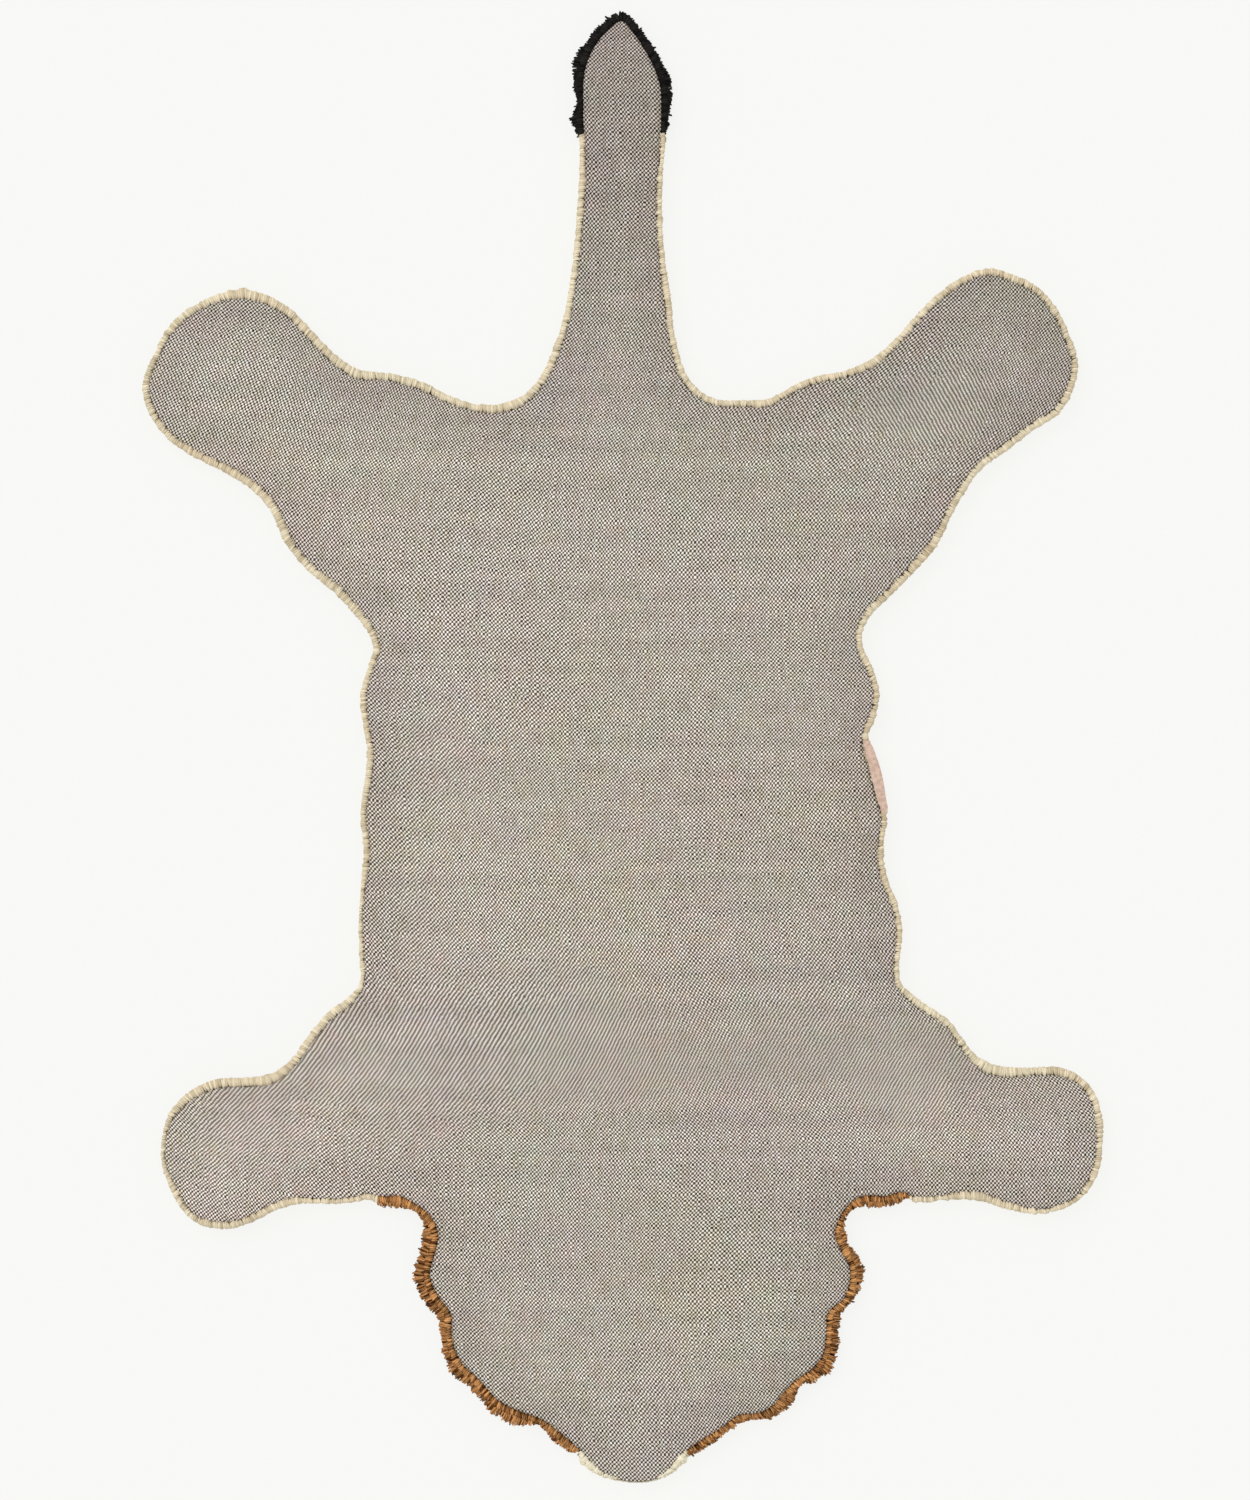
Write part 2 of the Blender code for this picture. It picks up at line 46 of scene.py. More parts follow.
# A CAD corner that lies less than this above its solid's lowest one is part of the underside.
UNDERSIDE_DEPTH_MM = 0.05
WHITE = (1.0, 1.0, 1.0, 1.0)

# The photograph's frame: the camera looks straight down on this middle and takes in this height.
FRAME_HEIGHT_MM = 916.8
FRAME_MIDDLE_MM = (1.37, -1.86)
LENS_MM = 100.0
FILM_MM = 36.0

# The canvas back.
CANVAS_TOP_MM = 12.0
CANVAS_THICKNESS_MM = 1.2
CANVAS_EDGE_INSET_MM = 0.15
CANVAS_EDGE_STEP_MM = 1.8
CANVAS_GRID_MM = 6.0
CANVAS_SWELL_MM = 0.22
CANVAS_SWELL_LENGTH_MM = 70.0
CANVAS_PUCKER_MM = 0.10
CANVAS_PUCKER_LENGTH_MM = 16.0
CANVAS_CREASE_ANGLE = math.radians(60)
# The edge turns down under the whipping. Columns: in from the edge, drop.
CANVAS_TURN_MM = (
    (0.0, 0.55),
    (0.7, 0.22),
    (1.9, 0.05),
    (4.0, 0.0),
)

# The canvas's weave.
WARP_PITCH_MM = 1.16
WEFT_PITCH_MM = 1.27
# The linear colours of its darkest and lightest threads, and how dark the painted shade in the hollows
# between them is.
WARP_COLOURS = ((0.76, 0.72, 0.62, 1.0), (1.0, 1.0, 0.97, 1.0))
WEFT_COLOURS = ((0.014, 0.011, 0.009, 1.0), (0.16, 0.132, 0.105, 1.0))
CANVAS_HOLLOW_SHADE = 0.62
CANVAS_RELIEF_MM = 0.25
CANVAS_ROUGHNESS = 0.95
# One float of a plain weave, in threads: how its sides fall away, how high it arches, how much
# higher than the crossing thread it is where only its own colour shows, and the heights between
# which it comes out of the painted shade.
FLOAT_ROUNDNESS = 3.2
FLOAT_ARCH = 0.8
FLOAT_STEP = 0.12
FLOAT_SHADE_HEIGHTS = (0.35, 1.05)
# Where the grain leans. Columns: y, half height, lean at the peak (sideways for each mm up),
# share of the lean at the rug's middle.
GRAIN_LEANS = (
    (-190.0, 55.0, -0.38, 1.0),
    (220.0, 56.0, 0.43, 0.62),
    (150.0, 60.0, 0.10, 1.0),
    (-100.0, 120.0, -0.12, 1.0),
    (-400.0, 80.0, -0.08, 1.0),
)
# Between these distances from the middle line, that share grows to the whole (m).
LEAN_GROWTH = (0.04, 0.24)
# Where the weft slopes down to the right. Columns: x, half width, slope at the peak.
GRAIN_BOWS = (
    (-330.0, 380.0, 0.21),
    (110.0, 60.0, -0.05),
)
# Where the weft lies closer. Columns: y, half height, how much closer at the peak.
GRAIN_SQUEEZES = (
    (-195.0, 55.0, 0.08),
)
# The grain wanders: how often to the metre, and how far from one side to the other (m).
DRIFTS_PER_METRE = 6.0
DRIFT = (0.020, 0.020, 0.020)
# Each float of the twisted yarn leans by this share of its width, and by less where the grain leans
# most. Columns of the latter: y, half height, how much less.
FLOAT_LEAN = 0.06
FLOATS_UPRIGHT = (-195.0, 60.0, 0.16)
# Uneven threads: how often their thickness changes from left to right, and from below upwards, for
# each thread passed.
WARP_STREAKS = (0.45, 0.07, 0.0)
WEFT_STREAKS = (0.06, 0.45, 0.0)
# How far they push their neighbours aside, and single crossings stray, in threads.
THREAD_PUSH = 1.2
CROSSING_WOBBLE = 0.6
CROSSING_WOBBLES_PER_THREAD = 0.4
# Most of a noise's values lie between these two.
NOISE_SPAN = (0.3, 0.7)

# The canvas's tint and shades. It is darker near its rim, fading out between these distances, and
# painted shade makes it darker to the right.
CANVAS_TINT = (1.079, 1.022, 0.966)
RIM_SHADE_MM = (8.0, 30.0)
RIM_SHADE = (0.90, 0.885, 0.89, 1.0)
PAINTED_SHADE_PER_METRE = -0.30
# The forelegs are lighter: painted light. Between these distances from the middle line, and these y, it
# sets in (m).
FORELEG_PAINTED_LIGHT = 1.09
FORELEG_X = (0.10, 0.20)
FORELEG_Y = (-0.12, -0.18)
# Where else painted shade makes it darker. Columns: from this y (m) to this y (m), share of its lightness
# there.
CANVAS_PAINTED_SHADES = (
    (0.10, 0.26, 0.94),
    (-0.10, -0.20, 0.97),
    (0.20, 0.42, 0.86),
)
# Clouds of faint colour. Columns: clouds to the metre, the whole range of each colour.
CANVAS_CLOUDS = (
    (11.0, (0.09, 0.11, 0.15)),
    (75.0, (0.17, 0.13, 0.11)),
)
# Faint bands along the weft: how often to the metre across and up, and the shades they reach.
BANDS_PER_METRE = (2.0, 90.0, 0.0)
BAND_SHADES = (0.94, 1.04)

# The edgings, in the order of travel. Columns: the whipping's yarn, how dark the painted shadow is in
# the gaps where it goes in, the shag that grows out from under it. Below the nose the canvas's edge is
# bare.
EDGINGS = {
    "edging_cream_left": ("yarn_cream", 0.5, None),
    "edging_brown_left": ("yarn_brown", 0.9, "pile_mane"),
    "edging_white_left": ("yarn_off_white", 0.4, "pile_muzzle"),
    None: (None, 0.0, "pile_muzzle"),
    "edging_white_right": ("yarn_off_white", 0.4, "pile_muzzle"),
    "edging_brown_right": ("yarn_brown", 0.9, "pile_mane"),
    "edging_cream_right": ("yarn_cream", 0.5, None),
    "edging_black": ("yarn_black", 0.6, "pile_tail_tip"),
}
BARE_EDGE_MM = 1.0
# The painted shadow in the gaps where the yarn goes in: how wide its row is, how often the gaps come,
# between which noise they start, and the shares of darkness in the gaps alone and along the whole row.
SEAM_SHADOW_WIDTH_MM = 1.5
GAPS_PER_METRE = 900.0
GAP_NOISE = (0.42, 0.58)
GAP_SHARE = 0.6
SEAM_SHARE = 0.3
SEAM_SHADOW_COLOUR = (0.05, 0.035, 0.025, 1.0)
# Places where the yarn bulges past the rim. Columns: x, y, how far, half length, darkness of the painted
# shadow in the gap.
RIM_BULGES = (
    (-232.1, 281.1, 1.7, 2.6, 0.0),
    (-241.0, 279.0, 0.6, 1.5, 0.0),
    (221.4, -193.8, 0.8, 3.0, 1.0),
    (-45.7, 384.4, 2.6, 0.7, 0.0),
    (146.6, 3.4, 1.2, 1.4, 1.0),
    (178.3, -276.5, 2.5, 2.8, 0.0),
    (185.5, -276.5, 1.0, 4.5, 0.0),
)

# The yarn whipped over the edge, and how each kind lies. Columns: pitch, thickness (share of the
# radii below), slant, and the spreads of reach, height, thickness, tone and bite into the canvas.
STITCH_KINDS = {
    "yarn_cream": (1.32, 0.89, 0.50, 0.18, 0.12, 0.11, 0.25, 0.42),
    "yarn_off_white": (1.4, 0.9, 0.35, 0.25, 0.15, 0.12, 0.22, 0.3),
    "yarn_brown": (1.15, 0.66, 0.55, 0.40, 0.25, 0.16, 0.26, 0.3),
    "yarn_black": (1.4, 0.95, 0.35, 0.30, 0.20, 0.14, 0.25, 0.2),
}
# One strand's way over the edge. Columns: out (share of the whipping's width), out (mm),
# height (mm), the strand's radius (mm), how far its bite draws it in (share).
STITCH_WAY = (
    (0.0, 0.30, 10.3, 0.55, 0.5),
    (0.0, 0.55, 11.3, 0.80, 1.0),
    (0.35, 0.0, 11.6, 1.06, 0.5),
    (0.62, 0.0, 11.45, 1.12, 0.15),
    (1.0, -1.2, 10.9, 1.10, 0.0),
    (1.0, -1.05, 9.8, 1.00, 0.0),
    (1.0, -1.2, 8.6, 0.85, 0.0),
    (0.5, 0.0, 8.1, 0.5, 0.0),
)
STITCH_SIDES = 6
STITCH_JITTER = 0.07
STITCH_SLANT_SPREAD = 0.7
# Bites are drawn round a mean with a spread of one, and kept between the least and the most.
BITE_MEAN = 0.6
BITE_LIMITS = (-0.6, 2.0)
# Slow changes along the whipping. Columns: their length, the channel of noise they follow.
REACH_CHANGE = (4.0, 3.0)
TONE_CHANGE = (45.0, 1.0)
BLUSH_CHANGE = (60.0, 7.0)
# How much of each slow change the reach takes (for each mm of its spread), and the tone and blush.
REACH_SWING = 2.0
TONE_MEAN = 0.5
TONE_SWING = 0.2
BLUSH_MEAN = 0.4
BLUSH_SWING = 0.8
BLUSH_SPREAD = 0.2

# Shag at the rim: tufts of strands that spread like fans from under the whipping. At this height
# the shag's solid reaches this share of the way from the whipping to its locks' tips.
LOCK_ROOT_SHARE = 0.35
LOCK_ROOT_HEIGHT_MM = 1.55
TUFT_PITCH_MM = 4.2
TUFT_JITTER = 0.12
TUFT_STRANDS = 8
TUFT_SPREAD_MM = 4.6
TUFT_ROOT_MM = 1.6
# A tuft's outermost strands are shorter than its middle by this share.
TUFT_ROUNDNESS = 0.28
TUFT_WANDER_MM = 0.4
TUFT_SIDES = 5
STRAND_SWAY_MM = 0.35
STRAND_REACH_SPREAD_MM = 0.35
STRAND_HEIGHT_SPREAD_MM = 0.5
# Of that spread in height, a strand has this share at its root and at its tip.
STRAND_HEIGHT_SHARES = (0.2, 1.6)
STRAND_LOWEST_MM = 1.0
STRAND_THICKNESS_SPREAD = 0.12
STRAY_LENGTH_MM = 1.2
# The upper layer's tone, how much painted shade darkens the lower one, and the spreads of tufts and of
# strands.
FRINGE_TONE = 0.47
LOWER_LAYER_PAINTED_SHADE = 0.2
FRINGE_TUFT_TONE_SPREAD = 0.06
FRINGE_TONE_SPREAD = 0.30
# Each kind of shag: how much the tufts' reach varies, the share of stray strands, the tip's radius.
SHAG_KINDS = {
    "mane": (0.09, 0.03, 0.24),
    "muzzle": (0.05, 0.02, 0.24),
    "tail_tip": (0.09, 0.07, 0.20),
}
# One strand's way out. Columns: share of the way from the whipping's middle to the tip,
# height in the upper and in the lower layer, radius.
FRINGE_WAY = (
    (0.0, 9.4, 5.0, 0.50),
    (0.35, 11.0, 5.6, 0.60),
    (0.7, 9.4, 4.8, 0.62),
    (0.93, 7.8, 3.4, 0.50),
    (1.0, 7.2, 3.0, 0.40),
)

# The foundation that the tufts stand in, seen only between them. Below the shelf's height it is drawn
# in by the shrink, and none of it goes below its floor.
SLAB_FLOOR_MM = 3.4
SLAB_SHRINK_MM = 1.3
SLAB_SHELF_MM = 8.0
# It is coloured like one spot low on the side of a dark strand, as painted shade between the tufts:
# the spot's place, its tone and blush.
SLAB_SHADE_STRAND = (0.2, 1.0, 0.0)
SLAB_SHADE_YARN = (0.1, 0.5, 0.1)

# The cut pile of body and muzzle, on the underside; the shag's spots have the same jitter.
PILE_PITCH_MM = 4.5
SPOT_JITTER = 0.16
PILE_LEAN_MM = 0.7
# A tuft leans inwards instead, where this many times its lean would take it past the rim.
PILE_LEAN_MARGIN = 1.5
# The height of its root, that of its end and how much this varies, and the shoulder's above the end.
PILE_ROOT_MM = 4.6
PILE_TIP_LOWEST_MM = 0.12
PILE_TIP_RANGE_MM = 0.55
PILE_SHOULDER_MM = 1.1
# The tuft's radii at its root, shoulder and end.
PILE_RADII_MM = (2.0, 2.35, 1.2)
RADIUS_SPREAD = 0.1
# Its tone changes slowly over patches of this length, in this channel of noise.
PILE_PATCH_MM = 40.0
PILE_PATCH_CHANNEL = 3.0
PILE_TONE = 0.5
PILE_PATCH_SWING = 0.22
PILE_TONE_SPREAD = 0.13
PILE_BLUSH = 0.35

# The rows of tufts round the side. Columns: height, out from the whipping's own reach, droop.
PILE_SIDE_ROWS = (
    (7.2, -1.2, 0.2),
    (5.3, -0.9, 0.5),
    (3.5, -0.9, 0.8),
    (1.9, -1.0, 0.6),
)
# One of their tufts. Columns: in from its end, share of the droop, radius.
PILE_SIDE_TUFT = (
    (3.6, 0.0, 1.1),
    (0.9, 0.5, 1.35),
    (0.0, 1.0, 0.8),
)
PILE_SIDE_PITCH_MM = 2.7
PILE_SIDE_REACH_SPREAD_MM = 0.2
PILE_SIDE_REACH_MOST_MM = 0.1
PILE_SIDE_HEIGHT_SPREAD_MM = 0.3
PILE_SIDE_RADIUS_LIMIT = 0.2
# A side tuft's middle lies at least this many of its radii above the floor.
PILE_SIDE_CLEARANCE = 1.1
PILE_SIDE_TONE = 0.45
PILE_SIDE_TONE_SPREAD = 0.14
PILE_END_MM = 2.5

# The shag of head and tail tip, on the underside.
SHAG_PITCH_MM = 4.6
SHAG_LENGTH_MM = 11.0
SHAG_LENGTH_SPREAD = 0.15
# A strand that would pass the rim has only this share of its length.
SHAG_RIM_SHARE = 0.3
# The spread of the directions in which the strands are combed, in radians.
SHAG_TURN_SPREAD = 0.6
# One strand's way. Columns: share of its length, share of its bend, height, radius.
SHAG_WAY = (
    (0.0, 0.0, 5.2, 1.3),
    (0.3, 0.2, 2.6, 1.45),
    (0.65, 0.8, 1.5, 1.2),
    (1.0, 1.6, 0.95, 0.6),
)
SHAG_LIFT_MM = 0.8
SHAG_CLEARANCE_MM = 0.05
SHAG_TONE = 0.45
SHAG_TONE_SPREAD = 0.2
SHAG_BLUSH = 0.5
FACE_MIDDLE_MM = (8.0, -370.0)
TAIL_TIP_MIDDLE_MM = (0.0, 380.0)

# The yarns. Columns: linear colours of shaded and lit strands, how pink some strands are,
# how dark the painted shade on the strands' flanks is, sheen.
YARNS = {
    "yarn_cream": ((0.56, 0.475, 0.31), (0.95, 0.86, 0.64), 0.25, 0.46, 0.08),
    "yarn_brown": ((0.09, 0.030, 0.005), (0.83, 0.435, 0.165), 0.5, 1.0, 0.0),
    "yarn_black": ((0.003, 0.003, 0.003), (0.024, 0.022, 0.019), 0.0, 0.3, 0.0),
    "yarn_off_white": ((0.76, 0.69, 0.49), (1.0, 0.95, 0.76), 0.1, 0.12, 0.05),
}
YARN_SEED = 20
YARN_ROUGHNESS = 0.9
YARN_RELIEF_MM = 0.12
FIBRES_PER_METRE = 1400.0
# How much lighter a fibre stands out, how much lighter a ply's crest is than its grooves as painted
# shade, the ply's middle, and the fibres' share in relief.
FIBRE_LIGHT = 0.9
PLY_PAINTED_LIGHT = 0.22
PLY_MIDDLE = 0.6
FIBRE_RELIEF = 0.5
BLUSH_TINT = (1.0, 0.80, 0.72, 1.0)
# Painted shade darkens the flanks from the upper to the lower of these heights on a strand of radius one.
FLANK_SHADE_TINT = (0.25, 0.15, 0.07, 1.0)
FLANK_SHADE_HEIGHTS = (-0.1, 0.95)
# How far the plies wind along a strand of the whipping, and of the tufts, in radians.
WHIPPING_TURNS = 9.0
TUFT_TURNS = 3.0
CLOTH_SPECULAR = 0.08
SHEEN_ROUGHNESS = 0.6

# The folded label in the right flank: the radius of its fold and of the crease inside it.
LABEL_FOLD_MM = 0.575
LABEL_CREASE_MM = 0.15
LABEL_TOP_MM = 12.35
LABEL_RINGS = 30
LABEL_FOLD_STEPS = 7
LABEL_CREASE_ANGLE = math.radians(45)
# Its width is read from the CAD corners this near, and evened out over this many rings each way.
LABEL_NEAR_MM = 5.0
LABEL_EVEN_RINGS = 4
# The ribbon's shape. Columns: share of the way from its foot to its head, its inner edge's distance
# out from the canvas, how far its fold is drawn in.
LABEL_SHAPE = (
    (0.0, 0.3, 1.6),
    (0.06, 0.35, 0.3),
    (0.45, 0.5, 0.0),
    (0.7, 1.2, 0.3),
    (0.92, 1.0, 0.9),
    (1.0, 0.2, 2.2),
)
# From its foot on, a gap beside it is darkened by painted shadow over this share of its length.
LABEL_SHADOW_GAP_SHARE = 0.55
# It presses the whipping down, but not near its ends. The press starts this far out, is whole this
# much further out, and goes as deep as this, though not below this height.
LABEL_END_MM = 1.0
LABEL_PRESS_OUT_MM = 0.4
LABEL_PRESS_EASE_MM = 0.8
LABEL_PRESS_DEPTH_MM = 2.0
LABEL_PRESS_LOWEST_MM = 9.4
# Its weave: the threads' pitch, how far it is turned in radians, its linear colours, and how dark the
# painted shade in its hollows is.
LABEL_THREAD_MM = 0.35
LABEL_WEAVE_TURN = 0.28
LABEL_WARP = (0.84, 0.63, 0.52, 1.0)
LABEL_WEFT = (0.72, 0.51, 0.41, 1.0)
LABEL_HOLLOW_SHADE = 0.35
LABEL_RELIEF_MM = 0.06
LABEL_ROUGHNESS = 0.75
LABEL_SHEEN = 0.1
LABEL_CLOUDS_PER_METRE = 420.0
LABEL_CLOUD_SPAN = (0.35, 0.65)
LABEL_TINTS = ((0.80, 0.78, 0.76, 1.0), (1.04, 1.03, 1.0, 1.0))

# The stage.
FLOOR_SIZE_M = 6.0
FLOOR_DROP_M = 0.0002
FLOOR_COLOUR = (0.09, 0.09, 0.088, 1.0)
FLOOR_GLOW = (1.0, 1.0, 0.98, 1.0)
FLOOR_GLOW_STRENGTH = 0.855
SKY_STRENGTH = 0.75
SUN_STRENGTH = 1.0
SUN_SOFTNESS = math.radians(40)
SUN_TURN = (math.radians(-28), math.radians(-32), 0.0)

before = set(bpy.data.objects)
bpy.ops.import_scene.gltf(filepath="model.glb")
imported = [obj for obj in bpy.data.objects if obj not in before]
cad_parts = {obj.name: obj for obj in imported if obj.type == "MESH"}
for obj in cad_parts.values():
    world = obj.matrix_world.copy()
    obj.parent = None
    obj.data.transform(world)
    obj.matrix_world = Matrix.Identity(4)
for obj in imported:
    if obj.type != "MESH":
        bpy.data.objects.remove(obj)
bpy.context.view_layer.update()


# Reading the CAD solids.


def node_points(node):
    """The CAD node's corner points."""
    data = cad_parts[node].data
    points = np.empty(len(data.vertices) * 3, np.float32)
    data.vertices.foreach_get("co", points)
    return points.reshape(-1, 3).astype(float) / MM


def merged_copy(node):
    shape = bmesh.new()
    shape.from_mesh(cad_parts[node].data)
    bmesh.ops.remove_doubles(shape, verts=shape.verts, dist=CAD_MERGE_M)
    return shape


def underside_ring(node):
    """The corners round a node's flat underside, in order, with the rug on the left hand."""
    shape = merged_copy(node)
    level = min(vert.co.z for vert in shape.verts) + UNDERSIDE_DEPTH_MM * MM
    low = {vert for vert in shape.verts if vert.co.z < level}
    beside = {}
    for edge in shape.edges:
        walls = any(vert not in low for face in edge.link_faces for vert in face.verts)
        if walls and all(vert in low for vert in edge.verts):
            first, second = edge.verts
            beside.setdefault(first, []).append(second)
            beside.setdefault(second, []).append(first)
    ring = [min(beside, key=lambda vert: vert.co.y)]
    ring.append(beside[ring[0]][0])
    while True:
        onward = [vert for vert in beside[ring[-1]] if vert is not ring[-2]][0]
        if onward is ring[0]:
            break
        ring.append(onward)
    corners = np.array([vert.co.xy for vert in ring]) / MM
    shape.free()
    following = np.roll(corners, -1, axis=0)
    area = (corners[:, 0] * following[:, 1] - corners[:, 1] * following[:, 0]).sum()
    return corners if area > 0 else corners[::-1]


class Rim:
    """The canvas's edge as the CAD canvas has it, and how far whipping and shag reach out from it."""

    # Places between one CAD corner and the next, on a smooth curve through them.
    STEPS = 12
    # A CAD corner this near an edging's is under that edging.
    NEAR_MM = 1.5
    # Half the chord that gives the way along the edge.
    HALF_CHORD_MM = 1.5
    # The heights at which the whipping's width is measured, and how far inside a face it starts anew.
    ROLL_HEIGHTS_MM = (9.2, 9.95)
    STEP_IN_MM = 0.05

    def __init__(self):
        corners = underside_ring("backing_canvas")
        cream = node_points("edging_cream_left")
        top = cream[cream[:, 1].argmax(), :2]
        corners = np.roll(corners, -np.linalg.norm(corners - top, axis=1).argmin(), axis=0)
        chords = np.linalg.norm(np.roll(corners, -1, axis=0) - corners, axis=1)[:, None]
        ways = (np.roll(corners, -1, axis=0) - corners) / chords
        behind = np.roll(chords, 1, axis=0)
        slopes = (np.roll(ways, 1, axis=0) * chords + ways * behind) / (chords + behind)
        t = (np.arange(self.STEPS) / self.STEPS)[None, :, None]
        onward = np.roll(corners, -1, axis=0)[:, None]
        smooth = (
            corners[:, None] * (2 * t**3 - 3 * t**2 + 1)
            + slopes[:, None] * chords[:, None] * (t**3 - 2 * t**2 + t)
            + onward * (3 * t**2 - 2 * t**3)
            + np.roll(slopes, -1, axis=0)[:, None] * chords[:, None] * (t**3 - t**2)
        )
        self.places = smooth.reshape(-1, 2)
        lengths = np.linalg.norm(np.roll(self.places, -1, axis=0) - self.places, axis=1)
        self.travels = np.concatenate([[0.0], np.cumsum(lengths)[:-1]])
        self.total = lengths.sum()
        self.stations = self.travels[:: self.STEPS]
        self.find_spans(corners)
        self.measure_reaches()
        beside = [self.nearest(point[:2]) for point in node_points("label")]
        self.label_zone = min(beside), max(beside)
        self.bulges = [(self.nearest((x, y)), *rest) for x, y, *rest in RIM_BULGES]

    def find_spans(self, corners):
        """Which edging each station has, and from where to where each edging runs."""
        tree_points = [(node, point) for node in EDGINGS if node for point in node_points(node)]
        tree = KDTree(len(tree_points))
        for index, (_, point) in enumerate(tree_points):
            tree.insert((point[0], point[1], 0.0), index)
        tree.balance()
        self.edgings = []
        for corner in corners:
            _, index, distance = tree.find((corner[0], corner[1], 0.0))
            self.edgings.append(tree_points[index][0] if distance < self.NEAR_MM else None)
        self.spans = {}
        for index, node in enumerate(self.edgings):
            following = (index + 1) % len(self.edgings)
            end = self.stations[index]
            if self.edgings[following] is not None:
                end = self.stations[following] if following else self.total
            if node is not None:
                self.spans[node] = (self.spans.get(node, (self.stations[index],))[0], end)

    def measure_reaches(self):
        """How far the whipping, and the shag beyond it, reach out at each station."""
        trees = {}
        for node in {*EDGINGS, *(shag for _, _, shag in EDGINGS.values())} - {None}:
            shape = merged_copy(node)
            trees[node] = BVHTree.FromBMesh(shape)
            shape.free()
        places, _, outs = self.follow(self.stations)
        self.whipping = []
        self.reach = []
        for place, out, node in zip(places, outs, self.edgings):
            way = Vector((*out, 0.0))

            def leaves(solid, height):
                """How far out a level line from the canvas's edge comes out of the solid."""
                start = Vector((*place, height)) * MM
                found, normal, _, _ = trees[solid].ray_cast(start, way)
                if found and normal.dot(way) < 0:
                    found = trees[solid].ray_cast(found + way * self.STEP_IN_MM * MM, way)[0]
                return (found - start).length / MM if found else None

            widths = [leaves(node, height) for height in self.ROLL_HEIGHTS_MM] if node else []
            width = max((found for found in widths if found), default=BARE_EDGE_MM)
            _, _, shag = EDGINGS[node]
            root = leaves(shag, LOCK_ROOT_HEIGHT_MM) if shag else None
            self.whipping.append(width)
            self.reach.append(width if root is None else width + (root - width) / LOCK_ROOT_SHARE)

    def follow(self, travels):
        """Places on the canvas's edge, and the ways along and out there."""
        def place(shifted):
            return np.stack([
                np.interp(shifted, self.travels, self.places[:, axis], period=self.total)
                for axis in (0, 1)
            ], axis=-1)

        travels = np.asarray(travels, float)
        along = place(travels + self.HALF_CHORD_MM) - place(travels - self.HALF_CHORD_MM)
        along /= np.linalg.norm(along, axis=-1, keepdims=True)
        out = np.stack([along[..., 1], -along[..., 0]], axis=-1)
        return place(travels) + out * CANVAS_EDGE_INSET_MM, along, out

    def sideways(self, travels):
        """The level way along the edge, which is across the strands that cross it."""
        _, along, _ = self.follow(travels)
        return np.column_stack([along, np.zeros(len(along))])

    def nearest(self, spot):
        """How far round the rim the spot lies."""
        return self.travels[np.linalg.norm(self.places - spot, axis=1).argmin()]

    def bulge_at(self, travels):
        """How far the yarn bulges past its usual reach there."""
        return sum(far * np.exp(-((travels - middle) / half) ** 2) for middle, far, half, _ in self.bulges)

    def whipping_at(self, travels):
        return np.interp(travels, self.stations, self.whipping, period=self.total)

    def reach_at(self, travels):
        return np.interp(travels, self.stations, self.reach, period=self.total)

    def shadow_darkness_at(self, travel):
        """How dark the painted shadow is in the gaps between the stitches there."""
        foot, head = self.label_zone
        if foot <= travel <= foot + LABEL_SHADOW_GAP_SHARE * (head - foot):
            return 1.0
        for middle, _, half, darkness in self.bulges:
            if darkness and abs(travel - middle) < half:
                return darkness
        for node, (start, end) in self.spans.items():
            if start <= travel <= end:
                return EDGINGS[node][1]
        return 0.0

    def points(self, travels, distances, heights):
        """Points this far out from the canvas's edge and this high."""
        place, _, out = self.follow(travels)
        flat = place + out * np.asarray(distances)[..., None]
        heights = np.broadcast_to(heights, flat.shape[:-1])
        return np.concatenate([flat, heights[..., None]], axis=-1)


# Meshes.


def show(name, mesh, look, nodes):
    """Put a finished mesh in the scene as a piece that stands for these CAD nodes."""
    mesh.materials.append(look)
    piece = bpy.data.objects.new(name, mesh)
    bpy.context.scene.collection.objects.link(piece)
    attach(piece, "root")
    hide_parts(*nodes)
    return piece


def rod(sides, rings):
    """A closed upright rod of unit radius: each corner's ring and place on the circle, and the faces."""
    shape = bmesh.new()
    bmesh.ops.create_cone(
        shape, cap_ends=True, segments=sides, radius1=1.0, radius2=1.0, depth=rings - 1,
        matrix=Matrix.Translation((0.0, 0.0, (rings - 1) / 2)),
    )
    for ring in range(1, rings - 1):
        geometry = list(shape.verts) + list(shape.edges) + list(shape.faces)
        bmesh.ops.bisect_plane(shape, geom=geometry, plane_co=(0, 0, ring), plane_no=(0, 0, 1))
    shape.verts.index_update()
    corners = np.array([vert.co for vert in shape.verts])
    faces = [[vert.index for vert in face.verts] for face in shape.faces]
    shape.free()
    return corners[:, 2].round().astype(int), corners[:, 0], corners[:, 1], faces


